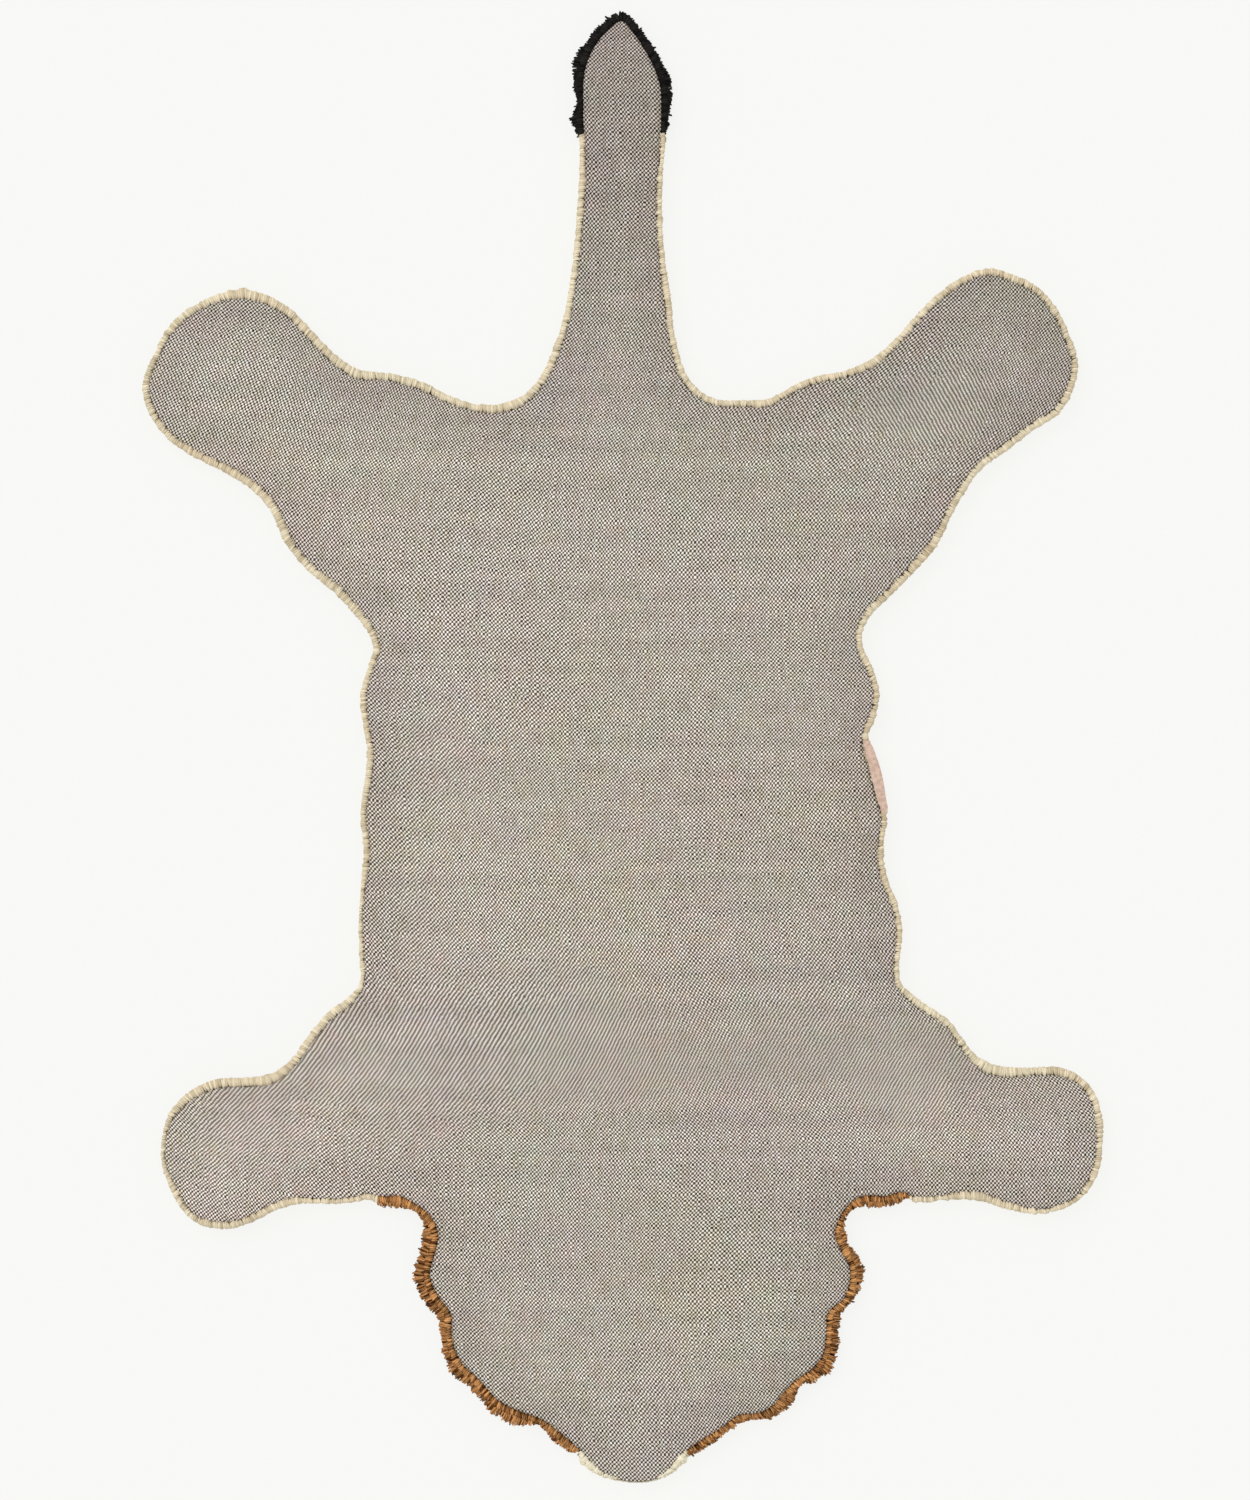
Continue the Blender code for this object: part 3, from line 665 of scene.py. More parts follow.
def strands(ways, radii, sideways, tone, blush, sides=TUFT_SIDES):
    """One mesh of many closed strands, each laid along its way with a radius at each point of it.

    ways has the shape (strands, points, 3), radii (strands, points) and sideways (strands, 3).
    """
    ring, across, upward, faces = rod(sides, ways.shape[1])
    tangents = np.gradient(ways, axis=1)
    tangents /= np.linalg.norm(tangents, axis=2, keepdims=True)
    side = sideways[:, None] - tangents * (sideways[:, None] * tangents).sum(2, keepdims=True)
    side /= np.linalg.norm(side, axis=2, keepdims=True)
    lift = np.cross(tangents, side)
    spokes = across[:, None] * side[:, ring] + upward[:, None] * lift[:, ring]
    points = ways[:, ring] + radii[:, ring, None] * spokes
    count, size = points.shape[:2]
    mesh = bpy.data.meshes.new("strands")
    joined = [[corner + strand * size for corner in face] for strand in range(count) for face in faces]
    mesh.from_pydata((points.reshape(-1, 3) * MM).tolist(), [], joined)
    mesh.shade_smooth()
    turns = np.stack([ring / (ways.shape[1] - 1), across, upward], axis=1)
    set_vectors(mesh, "strand", np.tile(turns, (count, 1)))
    tones = np.clip(np.column_stack([tone, np.broadcast_to(blush, count), tone]), 0.0, 1.0)
    set_vectors(mesh, "yarn", np.repeat(tones, size, axis=0))
    return mesh


def set_vectors(mesh, name, values):
    attribute = mesh.attributes.new(name, "FLOAT_VECTOR", "POINT")
    attribute.data.foreach_set("vector", values.astype(np.float32).ravel())


def join_meshes(meshes):
    """One mesh from several, with their attributes kept."""
    parts = []
    for mesh in meshes:
        part = bpy.data.objects.new("part", mesh)
        bpy.context.scene.collection.objects.link(part)
        parts.append(part)
    with bpy.context.temp_override(active_object=parts[0], selected_editable_objects=parts):
        bpy.ops.object.join()
    joined = parts[0].data
    bpy.data.objects.remove(parts[0])
    return joined


def slow_noise(travels, length, channel):
    """Smooth noise from -1 to 1 along the rim."""
    return np.array([noise.noise(Vector((t / length, channel, 0.5))) for t in travels])


def varied(values, spread, chance):
    """The values for each of many strands, all of a strand's made more or less by the same share."""
    return values * (1.0 + chance.normal(0.0, spread, (len(values), 1)))


def closed_mesh(name, shape, crease_angle):
    """The finished shape as a smooth mesh of triangles that faces outwards, sharp at its creases."""
    bmesh.ops.triangulate(shape, faces=shape.faces)
    bmesh.ops.recalc_face_normals(shape, faces=shape.faces)
    mesh = bpy.data.meshes.new(name)
    shape.to_mesh(mesh)
    shape.free()
    mesh.shade_smooth()
    mesh.set_sharp_from_angle(angle=crease_angle)
    return mesh


def canvas_mesh(rim):
    """The canvas: an edge that turns down in narrow rings, and a level field inside it, closed below."""
    shape = bmesh.new()
    count = round(rim.total / CANVAS_EDGE_STEP_MM)
    travels = np.arange(count) * rim.total / count
    rings = []
    for inset, _ in CANVAS_TURN_MM:
        points = rim.points(travels, -CANVAS_EDGE_INSET_MM - inset, 0.0)
        rings.append([shape.verts.new(point * MM) for point in points])
    for outer, inner in zip(rings, rings[1:]):
        for k in range(count):
            following = (k + 1) % count
            shape.faces.new((outer[k], outer[following], inner[following], inner[k]))
    field = shape.faces.new(rings[-1])
    low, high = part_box("backing_canvas")
    within = [field]
    for axis, across in ((0, (1.0, 0.0, 0.0)), (1, (0.0, 1.0, 0.0))):
        first = math.ceil(low[axis] / MM / CANVAS_GRID_MM)
        for line in range(first, math.ceil(high[axis] / MM / CANVAS_GRID_MM)):
            place = Vector(across) * line * CANVAS_GRID_MM * MM
            geometry = set(within)
            for face in within:
                geometry.update(face.verts)
                geometry.update(face.edges)
            cut = bmesh.ops.bisect_plane(shape, geom=list(geometry), plane_co=place, plane_no=across)
            within = [part for part in cut["geom"] if isinstance(part, bmesh.types.BMFace)]
    edge = KDTree(len(rim.places))
    for index, place in enumerate(rim.places):
        edge.insert((place[0], place[1], 0.0), index)
    edge.balance()
    insets, drops = np.array(CANVAS_TURN_MM).T
    seam_shadow = shape.verts.layers.float.new("seam_shadow")
    rim_shade = shape.verts.layers.float.new("rim_shade")
    for vert in shape.verts:
        flat = vert.co / MM
        _, nearest, distance = edge.find((flat.x, flat.y, 0.0))
        # Painted shadow in the gaps where the yarn goes in; darker near the rim.
        vert[seam_shadow] = rim.shadow_darkness_at(rim.travels[nearest]) * max(1.0 - distance / SEAM_SHADOW_WIDTH_MM, 0.0)
        vert[rim_shade] = np.interp(distance, RIM_SHADE_MM, (1.0, 0.0))
        swell = CANVAS_SWELL_MM * noise.noise(flat / CANVAS_SWELL_LENGTH_MM)
        pucker = CANVAS_PUCKER_MM * noise.noise(flat / CANVAS_PUCKER_LENGTH_MM)
        height = CANVAS_TOP_MM + swell + pucker - np.interp(distance, insets, drops)
        vert.co.z = height * MM
    top = list(shape.faces)
    under = bmesh.ops.extrude_face_region(shape, geom=top, use_keep_orig=True)["geom"]
    for part in under:
        if isinstance(part, bmesh.types.BMVert):
            part.co.z -= CANVAS_THICKNESS_MM * MM
    return closed_mesh("canvas", shape, CANVAS_CREASE_ANGLE)


def press_under_label(rim, travels, distances, heights):
    """The strands' heights, pressed down where the label lies on them."""
    foot, head = rim.label_zone
    under_label = (travels > foot + LABEL_END_MM) & (travels < head - LABEL_END_MM)
    pressed = np.clip((distances - LABEL_PRESS_OUT_MM) / LABEL_PRESS_EASE_MM, 0.0, 1.0)
    pressed = pressed * under_label[:, None]
    depths = np.minimum(heights - LABEL_PRESS_LOWEST_MM, LABEL_PRESS_DEPTH_MM)
    return np.where(heights > LABEL_PRESS_LOWEST_MM, heights - pressed * depths, heights)


def whipping_mesh(rim, node, slot, chance):
    """Strands side by side over the edge."""
    pitch, thickness, slant, *spreads = STITCH_KINDS[slot]
    reach_spread, height_spread, thickness_spread, tone_spread, bite_spread = spreads
    start, end = rim.spans[node]
    count = round((end - start) / pitch)
    travels = start + (np.arange(count) + 0.5) * (end - start) / count
    travels += chance.normal(0.0, STITCH_JITTER, count) * pitch
    shares, shifts, heights, radii, bite_shares = np.array(STITCH_WAY).T
    width = rim.whipping_at(travels) + chance.normal(0.0, reach_spread, count)
    width += REACH_SWING * reach_spread * slow_noise(travels, *REACH_CHANGE) + rim.bulge_at(travels)
    bites = np.clip(chance.normal(BITE_MEAN, 1.0, (count, 1)), *BITE_LIMITS) * bite_spread
    distances = shares * width[:, None] + shifts - bites * bite_shares
    heights = heights + chance.normal(0.0, height_spread, (count, 1))
    heights = press_under_label(rim, travels, distances, heights)
    slants = slant * (1.0 + chance.normal(0.0, STITCH_SLANT_SPREAD, (count, 1)))
    shifted = travels[:, None] + slants * np.linspace(-1.0, 1.0, len(shares))
    ways = rim.points(shifted, distances, heights)
    radii = varied(np.tile(radii * thickness, (count, 1)), thickness_spread, chance)
    tone = TONE_MEAN + TONE_SWING * slow_noise(travels, *TONE_CHANGE)
    tone += chance.normal(0.0, tone_spread, count)
    blush = BLUSH_MEAN + BLUSH_SWING * slow_noise(travels, *BLUSH_CHANGE)
    blush += chance.normal(0.0, BLUSH_SPREAD, count)
    return strands(ways, radii, rim.sideways(travels), tone, blush, sides=STITCH_SIDES)


def fringe_mesh(rim, start, end, kind, chance):
    """Ragged tufts of shag that fan out from under the whipping, in an upper and a lower layer."""
    reach_spread, stray_share, tip_radius = SHAG_KINDS[kind]
    shares, *layers, radii = np.array(FRINGE_WAY).T
    radii[-1] = tip_radius
    meshes = []
    for layer, heights in enumerate(layers):
        tufts = round((end - start) / TUFT_PITCH_MM)
        middles = start + (np.arange(tufts) + 0.5 + 0.5 * layer) * (end - start) / tufts
        middles += chance.normal(0.0, TUFT_JITTER, tufts) * TUFT_PITCH_MM
        fan = np.linspace(-1.0, 1.0, TUFT_STRANDS)
        scales = 1.0 + chance.normal(0.0, reach_spread, (tufts, 1)) - TUFT_ROUNDNESS * fan**2
        wander = chance.normal(0.0, TUFT_WANDER_MM, (tufts, TUFT_STRANDS))
        tips = middles[:, None] + fan * TUFT_SPREAD_MM / 2 + wander
        roots = middles[:, None] + fan * TUFT_ROOT_MM
        tips, roots = np.clip(tips, start, end).ravel(), np.clip(roots, start, end).ravel()
        count = tips.size
        inner = 0.5 * rim.whipping_at(roots)
        reach = inner + (rim.reach_at(tips) - inner) * scales.ravel() + rim.bulge_at(tips)
        reach += chance.normal(0.0, STRAND_REACH_SPREAD_MM, count)
        stray = chance.random(count) < stray_share
        reach += np.where(stray, STRAY_LENGTH_MM * chance.random(count), 0.0)
        distances = inner[:, None] + (reach - inner)[:, None] * shares
        uneven = chance.normal(0.0, STRAND_HEIGHT_SPREAD_MM, (count, 1))
        uneven = uneven * np.linspace(*STRAND_HEIGHT_SHARES, len(shares))
        along_way = roots[:, None] + (tips - roots)[:, None] * shares
        along_way += chance.normal(0.0, STRAND_SWAY_MM, (count, 1)) * np.sin(math.pi * shares)
        ways = rim.points(along_way, distances, np.maximum(heights + uneven, STRAND_LOWEST_MM))
        thickness = varied(np.tile(radii, (count, 1)), STRAND_THICKNESS_SPREAD, chance)
        tuft_tone = np.repeat(chance.normal(0.0, FRINGE_TUFT_TONE_SPREAD, tufts), TUFT_STRANDS)
        # Painted shade: the lower layer lies under the upper one and is darker.
        tone = FRINGE_TONE - LOWER_LAYER_PAINTED_SHADE * layer + tuft_tone
        tone += chance.normal(0.0, FRINGE_TONE_SPREAD, count)
        meshes.append(strands(ways, thickness, rim.sideways(roots), tone, chance.random(count)))
    return join_meshes(meshes)


def slab_mesh(node):
    """The foundation that the tufts stand in: the CAD pile, drawn in at its sides and cut off below,
    coloured dark as painted shade between the tufts.
    """
    shape = merged_copy(node)
    shape.normal_update()
    for vert in shape.verts:
        if vert.co.z < SLAB_SHELF_MM * MM:
            vert.co.xy -= vert.normal.xy * SLAB_SHRINK_MM * MM
            vert.co.z = max(vert.co.z, SLAB_FLOOR_MM * MM)
    mesh = bpy.data.meshes.new("slab")
    shape.to_mesh(mesh)
    shape.free()
    size = len(mesh.vertices)
    # Painted shade: the slab takes the colour of a shaded spot on a dark strand.
    set_vectors(mesh, "strand", np.tile(SLAB_SHADE_STRAND, (size, 1)))
    set_vectors(mesh, "yarn", np.tile(SLAB_SHADE_YARN, (size, 1)))
    return mesh


def inside(ring, spots):
    """Which of the spots lie within the ring."""
    following = np.roll(ring, -1, axis=0)
    found = np.zeros(len(spots), bool)
    for (x1, y1), (x2, y2) in zip(ring, following):
        crosses = (y1 > spots[:, 1]) != (y2 > spots[:, 1])
        if crosses.any():
            at = x1 + (spots[:, 1] - y1) * (x2 - x1) / (y2 - y1 if y2 != y1 else 1.0)
            found ^= crosses & (spots[:, 0] < at)
    return found


def tuft_spots(node, pitch, chance):
    """Spots for tufts on the node's underside, in staggered rows that wander a little."""
    ring = underside_ring(node)
    low, high = ring.min(0), ring.max(0)
    rows = np.arange(low[1], high[1], pitch * math.sqrt(3) / 2)
    spots = []
    for index, row in enumerate(rows):
        columns = np.arange(low[0] + (index % 2) * pitch / 2, high[0], pitch)
        spots.append(np.column_stack([columns, np.full(len(columns), row)]))
    spots = np.vstack(spots)
    spots += chance.normal(0.0, SPOT_JITTER * pitch, spots.shape)
    return spots[inside(ring, spots)]


def cut_pile_mesh(node, spots, chance):
    """Short upright tufts with rounded ends that all but touch the floor; none leans past the rim."""
    count = len(spots)
    lean = np.clip(chance.normal(0.0, PILE_LEAN_MM, (count, 2)), -2 * PILE_LEAN_MM, 2 * PILE_LEAN_MM)
    lean[~inside(underside_ring(node), spots + PILE_LEAN_MARGIN * lean)] *= -1.0
    tip = PILE_TIP_LOWEST_MM + PILE_TIP_RANGE_MM * chance.random(count)
    root = np.column_stack([spots, np.full(count, PILE_ROOT_MM)])
    shoulder = np.column_stack([spots + lean, tip + PILE_SHOULDER_MM])
    end = np.column_stack([spots + lean, tip])
    ways = np.stack([root, shoulder, end], axis=1)
    radii = varied(np.tile(PILE_RADII_MM, (count, 1)), RADIUS_SPREAD, chance)
    turn = chance.random(count) * 2 * math.pi
    sideways = np.column_stack([np.cos(turn), np.sin(turn), np.zeros(count)])
    patches = np.array([
        noise.noise(Vector((x / PILE_PATCH_MM, y / PILE_PATCH_MM, PILE_PATCH_CHANNEL)))
        for x, y in spots
    ])
    tone = PILE_TONE + PILE_PATCH_SWING * patches + chance.normal(0.0, PILE_TONE_SPREAD, count)
    return strands(ways, radii, sideways, tone, PILE_BLUSH)


def side_pile_mesh(rim, start, end, chance):
    """Rows of tufts that show below the whipping, round the side of the pile."""
    meshes = []
    for height, reach, droop in PILE_SIDE_ROWS:
        count = round((end - start) / PILE_SIDE_PITCH_MM)
        travels = start + (np.arange(count) + chance.random(count) * 0.5 + 0.25) * (end - start) / count
        travels = np.clip(travels, start + PILE_END_MM, end - PILE_END_MM)
        outer = chance.normal(0.0, PILE_SIDE_REACH_SPREAD_MM, count)
        outer = reach + np.minimum(outer, PILE_SIDE_REACH_MOST_MM)
        inward, shares, radii = np.array(PILE_SIDE_TUFT).T
        distances = (rim.whipping_at(travels) + outer)[:, None] - inward
        uneven = chance.normal(0.0, PILE_SIDE_HEIGHT_SPREAD_MM, (count, 1))
        heights = height - shares * droop + uneven
        thicker = np.clip(
            chance.normal(0.0, RADIUS_SPREAD, (count, 1)), -PILE_SIDE_RADIUS_LIMIT, PILE_SIDE_RADIUS_LIMIT,
        )
        radii = radii * (1.0 + thicker)
        heights = np.maximum(heights, PILE_SIDE_CLEARANCE * radii)
        ways = rim.points(np.repeat(travels[:, None], len(shares), axis=1), distances, heights)
        tone = PILE_SIDE_TONE + chance.normal(0.0, PILE_SIDE_TONE_SPREAD, count)
        meshes.append(strands(ways, radii, rim.sideways(travels), tone, PILE_BLUSH))
    return join_meshes(meshes)


def shag_mesh(node, middle, chance):
    """Long strands that lie over each other on the floor, combed outwards, short near the rim."""
    spots = tuft_spots(node, SHAG_PITCH_MM, chance)
    count = len(spots)
    away = spots - middle
    away /= np.linalg.norm(away, axis=1, keepdims=True) + 1e-6
    turn = np.arctan2(away[:, 1], away[:, 0]) + chance.normal(0.0, SHAG_TURN_SPREAD, count)
    comb = np.column_stack([np.cos(turn), np.sin(turn)])
    length = SHAG_LENGTH_MM * (1.0 + chance.normal(0.0, SHAG_LENGTH_SPREAD, count))[:, None]
    length[~inside(underside_ring(node), spots + comb * length)] *= SHAG_RIM_SHARE
    bend = np.column_stack([-comb[:, 1], comb[:, 0]]) * chance.normal(0.0, 1.0, (count, 1))
    ways = np.stack([
        np.column_stack([spots + comb * length * share + bend * sway, np.full(count, height)])
        for share, sway, height, _ in SHAG_WAY
    ], axis=1)
    ways[:, 1:, 2] += SHAG_LIFT_MM * chance.random((count, 1))
    radii = varied(np.tile(np.array(SHAG_WAY)[:, 3], (count, 1)), RADIUS_SPREAD, chance)
    radii = np.minimum(radii, ways[:, :, 2] - SHAG_CLEARANCE_MM)
    sideways = np.column_stack([-comb[:, 1], comb[:, 0], np.zeros(count)])
    tone = SHAG_TONE + chance.normal(0.0, SHAG_TONE_SPREAD, count)
    return strands(ways, radii, sideways, tone, SHAG_BLUSH)


# Materials.


class Wiring:
    """Shorthand for placing and joining the nodes of one tree."""

    def __init__(self, tree):
        self.tree = tree

    def plug(self, value, socket):
        if isinstance(value, bpy.types.NodeSocket):
            self.tree.links.new(value, socket)
        else:
            socket.default_value = value

    def add(self, kind, inputs=None, **settings):
        node = self.tree.nodes.new(kind)
        for name, value in settings.items():
            setattr(node, name, value)
        for name, value in (inputs or {}).items():
            self.plug(value, node.inputs[name])
        return node

    def group(self, tree, inputs):
        node = self.add("ShaderNodeGroup")
        node.node_tree = tree
        for name, value in inputs.items():
            self.plug(value, node.inputs[name])
        return node.outputs

    def math(self, operation, *values):
        node = self.add("ShaderNodeMath", operation=operation)
        for value, socket in zip(values, node.inputs):
            self.plug(value, socket)
        return node.outputs[0]

    def vector(self, operation, first, second):
        node = self.add("ShaderNodeVectorMath", operation=operation)
        self.plug(first, node.inputs[0])
        self.plug(second, node.inputs[3] if operation == "SCALE" else node.inputs[1])
        return node.outputs[0]

    def place(self):
        return self.add("ShaderNodeTexCoord").outputs["Object"]

    def attribute(self, name):
        return self.add("ShaderNodeAttribute", attribute_name=name).outputs

    def noise(self, vector, scale, detail=2.0):
        return self.add("ShaderNodeTexNoise", {"Vector": vector, "Scale": scale, "Detail": detail}).outputs

    def stray(self, vector, scale, detail, reach):
        """Noise in three channels about zero, times the reach of each."""
        colour = self.noise(vector, scale, detail)["Color"]
        return self.vector("MULTIPLY", self.vector("SUBTRACT", colour, (0.5, 0.5, 0.5)), reach)

    def span(self, value, low, high, to_low=0.0, to_high=1.0, kind="SMOOTHSTEP"):
        """The value's place between low and high, eased and put between to_low and to_high."""
        node = self.add(
            "ShaderNodeMapRange", {
                "Value": value, "From Min": low, "From Max": high, "To Min": to_low, "To Max": to_high,
            }, interpolation_type=kind,
        )
        return node.outputs["Result"]

    def mix(self, share, first, second, blend="MIX"):
        node = self.add("ShaderNodeMix", data_type="RGBA", blend_type=blend)
        self.plug(share, node.inputs[0])
        self.plug(first, node.inputs[6])
        self.plug(second, node.inputs[7])
        return node.outputs[2]


def new_group(name, inputs, outputs):
    """A shader node group with these sockets, and its wiring."""
    group = bpy.data.node_groups.new(name, "ShaderNodeTree")
    for direction, sockets in (("INPUT", inputs), ("OUTPUT", outputs)):
        for socket, kind in sockets.items():
            group.interface.new_socket(socket, in_out=direction, socket_type="NodeSocket" + kind)
    wiring = Wiring(group)
    return group, wiring, wiring.add("NodeGroupInput").outputs, wiring.add("NodeGroupOutput").inputs


def plain_weave_group():
    """Warp and weft that pass over and under each other, with painted shade in the hollows; Vector counts
    threads.
    """
    group, w, given, out = new_group(
        "plain_weave",
        {"Vector": "Vector", "Warp": "Color", "Weft": "Color", "HollowShade": "Float", "Lean": "Float"},
        {"Color": "Color", "Height": "Float"},
    )
    axes = w.add("ShaderNodeSeparateXYZ", {"Vector": given["Vector"]}).outputs
    aside = w.math("MULTIPLY", w.math("SUBTRACT", w.math("FRACT", axes["Y"]), 0.5), given["Lean"])
    leaning = w.math("SUBTRACT", axes["X"], aside)
    heights = []
    for across, along, sign in ((leaning, axes["Y"], 0.5), (axes["Y"], leaning, -0.5)):
        parity = w.math("COSINE", w.math("MULTIPLY", w.math("FLOOR", across), math.pi))
        wave = w.math("MULTIPLY", parity, w.math("SINE", w.math("MULTIPLY", along, math.pi)))
        local = w.math("SUBTRACT", w.math("FRACT", across), 0.5)
        flat = w.math("MULTIPLY", w.math("MULTIPLY", local, local), FLOAT_ROUNDNESS)
        arch = w.math("SQRT", w.math("MAXIMUM", w.math("SUBTRACT", 1.0, flat), 0.0))
        heights.append(w.math("MULTIPLY_ADD", wave, sign, w.math("MULTIPLY", arch, FLOAT_ARCH)))
    over = w.span(w.math("SUBTRACT", heights[0], heights[1]), -FLOAT_STEP, FLOAT_STEP)
    height = w.math("MAXIMUM", heights[0], heights[1])
    colour = w.mix(over, given["Weft"], given["Warp"])
    # Painted shade: the lower the weave's surface, the darker its colour.
    depth = w.span(height, *FLOAT_SHADE_HEIGHTS)
    light = w.math("MULTIPLY_ADD", w.math("SUBTRACT", depth, 1.0), given["HollowShade"], 1.0)
    shade = w.add("ShaderNodeCombineColor", {"Red": light, "Green": light, "Blue": light}).outputs[0]
    w.plug(w.mix(1.0, colour, shade, "MULTIPLY"), out["Color"])
    w.plug(height, out["Height"])
    return group


def spun_yarn_group():
    """Wool yarn: lighter and darker strands, fibres, and two plies that wind round each other, with
    painted shade in the grooves between the plies and on the strands' flanks.
    """
    group, w, given, out = new_group(
        "spun_yarn",
        {"Dark": "Color", "Light": "Color", "Turns": "Float", "Blush": "Float", "FlankShade": "Float"},
        {"Color": "Color", "Height": "Float"},
    )
    strand = w.attribute("strand")["Vector"]
    yarn = w.attribute("yarn")["Vector"]
    share, across, upward = w.add("ShaderNodeSeparateXYZ", {"Vector": strand}).outputs
    tone, blush, _ = w.add("ShaderNodeSeparateXYZ", {"Vector": yarn}).outputs
    angle = w.math("ARCTAN2", upward, across)
    winding = w.math("MULTIPLY_ADD", share, given["Turns"], angle)
    ply = w.math("ABSOLUTE", w.math("SINE", winding))
    fibre = w.noise(w.place(), FIBRES_PER_METRE, 3.0)["Fac"]
    light = w.math("MULTIPLY_ADD", w.math("SUBTRACT", fibre, 0.5), FIBRE_LIGHT, tone)
    # Painted light on the plies' crests and painted shade in the grooves between them.
    light = w.math("MULTIPLY_ADD", w.math("SUBTRACT", ply, PLY_MIDDLE), PLY_PAINTED_LIGHT, light)
    colour = w.mix(w.span(light, 0.0, 1.0, kind="LINEAR"), given["Dark"], given["Light"])
    pink = w.mix(w.math("MULTIPLY", blush, given["Blush"]), WHITE, BLUSH_TINT)
    # Painted shade on the strand's lower flanks.
    flank_shade = w.span(upward, *FLANK_SHADE_HEIGHTS, 1.0, 0.0)
    flank_shade = w.mix(w.math("MULTIPLY", flank_shade, given["FlankShade"]), WHITE, FLANK_SHADE_TINT)
    colour = w.mix(1.0, w.mix(1.0, colour, pink, "MULTIPLY"), flank_shade, "MULTIPLY")
    w.plug(colour, out["Color"])
    w.plug(w.math("MULTIPLY_ADD", fibre, FIBRE_RELIEF, ply), out["Height"])
    return group


def new_material(name, roughness, sheen):
    """A material, its wiring and its shader."""
    made = bpy.data.materials.new(name)
    made.use_nodes = True
    shader = made.node_tree.nodes["Principled BSDF"]
    shader.inputs["Roughness"].default_value = roughness
    shader.inputs["Specular IOR Level"].default_value = CLOTH_SPECULAR
    shader.inputs["Sheen Weight"].default_value = sheen
    shader.inputs["Sheen Roughness"].default_value = SHEEN_ROUGHNESS
    return made, Wiring(made.node_tree), shader


def finish_material(w, shader, colour, height, relief):
    """Plug in the colour, and the height as relief of this many millimetres."""
    w.plug(colour, shader.inputs["Base Color"])
    bump = w.add("ShaderNodeBump", {"Height": height, "Distance": relief * MM})
    w.plug(bump.outputs["Normal"], shader.inputs["Normal"])


def canvas_threads(w, place, x, y):
    """The place counted in threads, with the grain's leans, bows and squeezes; its two rows of streaks."""
    def eased_step(way, level, half_length, slope):
        """A rise round a level of x or y; it is steepest there, one and a half times its mean slope."""
        low, high = (level - half_length) * MM, (level + half_length) * MM
        return w.span(way, low, high, 0.0, slope * (high - low) / 1.5)

    lean_x, lean_y = x, y
    for level, half_height, lean, middle_share in GRAIN_LEANS:
        aside = w.span(w.math("ABSOLUTE", x), *LEAN_GROWTH, middle_share, 1.0)
        lean_x = w.math("MULTIPLY_ADD", eased_step(y, level, half_height, -lean), aside, lean_x)
    for level, half_height, closer in GRAIN_SQUEEZES:
        lean_y = w.math("ADD", lean_y, eased_step(y, level, half_height, closer))
    for level, half_width, slope in GRAIN_BOWS:
        lean_y = w.math("ADD", lean_y, eased_step(x, level, half_width, slope))
    leant = w.add("ShaderNodeCombineXYZ", {"X": lean_x, "Y": lean_y}).outputs[0]
    leant = w.vector("ADD", leant, w.stray(place, DRIFTS_PER_METRE, 1.0, DRIFT))
    per_metre = (1.0 / (WARP_PITCH_MM * MM), 1.0 / (WEFT_PITCH_MM * MM), 0.0)
    threads = w.vector("MULTIPLY", leant, per_metre)
    # Threads of uneven thickness push each other aside along their whole length.
    warp_streak = w.noise(w.vector("MULTIPLY", threads, WARP_STREAKS), 1.0)["Fac"]
    weft_streak = w.noise(w.vector("MULTIPLY", threads, WEFT_STREAKS), 1.0)["Fac"]
    pushed = w.add("ShaderNodeCombineXYZ", {"X": warp_streak, "Y": weft_streak}).outputs[0]
    wobble = w.noise(threads, CROSSING_WOBBLES_PER_THREAD)["Color"]
    wobble = w.vector("SCALE", wobble, CROSSING_WOBBLE)
    aside = w.vector("ADD", w.vector("SCALE", pushed, THREAD_PUSH), wobble)
    return w.vector("ADD", threads, aside), warp_streak, weft_streak


def canvas_tint_and_painted_shade(w, place, x, y):
    """The canvas's tint: clouds, bands, darker towards the rim, painted shade towards the tail and the
    right, painted light on the forelegs.
    """
    tint = CANVAS_TINT
    for scale, reach in CANVAS_CLOUDS:
        tint = w.vector("ADD", w.stray(place, scale, 2.0, reach), tint)
    tint = w.vector("MULTIPLY", tint, w.mix(w.attribute("rim_shade")["Fac"], WHITE, RIM_SHADE))
    band = w.noise(w.vector("MULTIPLY", place, BANDS_PER_METRE), 1.0, 3.0)["Fac"]
    # Painted shade: darker to the right, towards the tail and lower body; painted light on the forelegs.
    slope = w.math("MULTIPLY_ADD", x, PAINTED_SHADE_PER_METRE, 1.0)
    shade = w.math("MULTIPLY", w.span(band, *NOISE_SPAN, *BAND_SHADES), slope)
    for start, end, share in CANVAS_PAINTED_SHADES:
        shade = w.math("MULTIPLY", shade, w.span(y, start, end, 1.0, share))
    foreleg = w.math("MULTIPLY", w.span(w.math("ABSOLUTE", x), *FORELEG_X), w.span(y, *FORELEG_Y))
    shade = w.math("MULTIPLY", shade, w.span(foreleg, 0.0, 1.0, 1.0, FORELEG_PAINTED_LIGHT, "LINEAR"))
    return w.vector("SCALE", tint, shade)


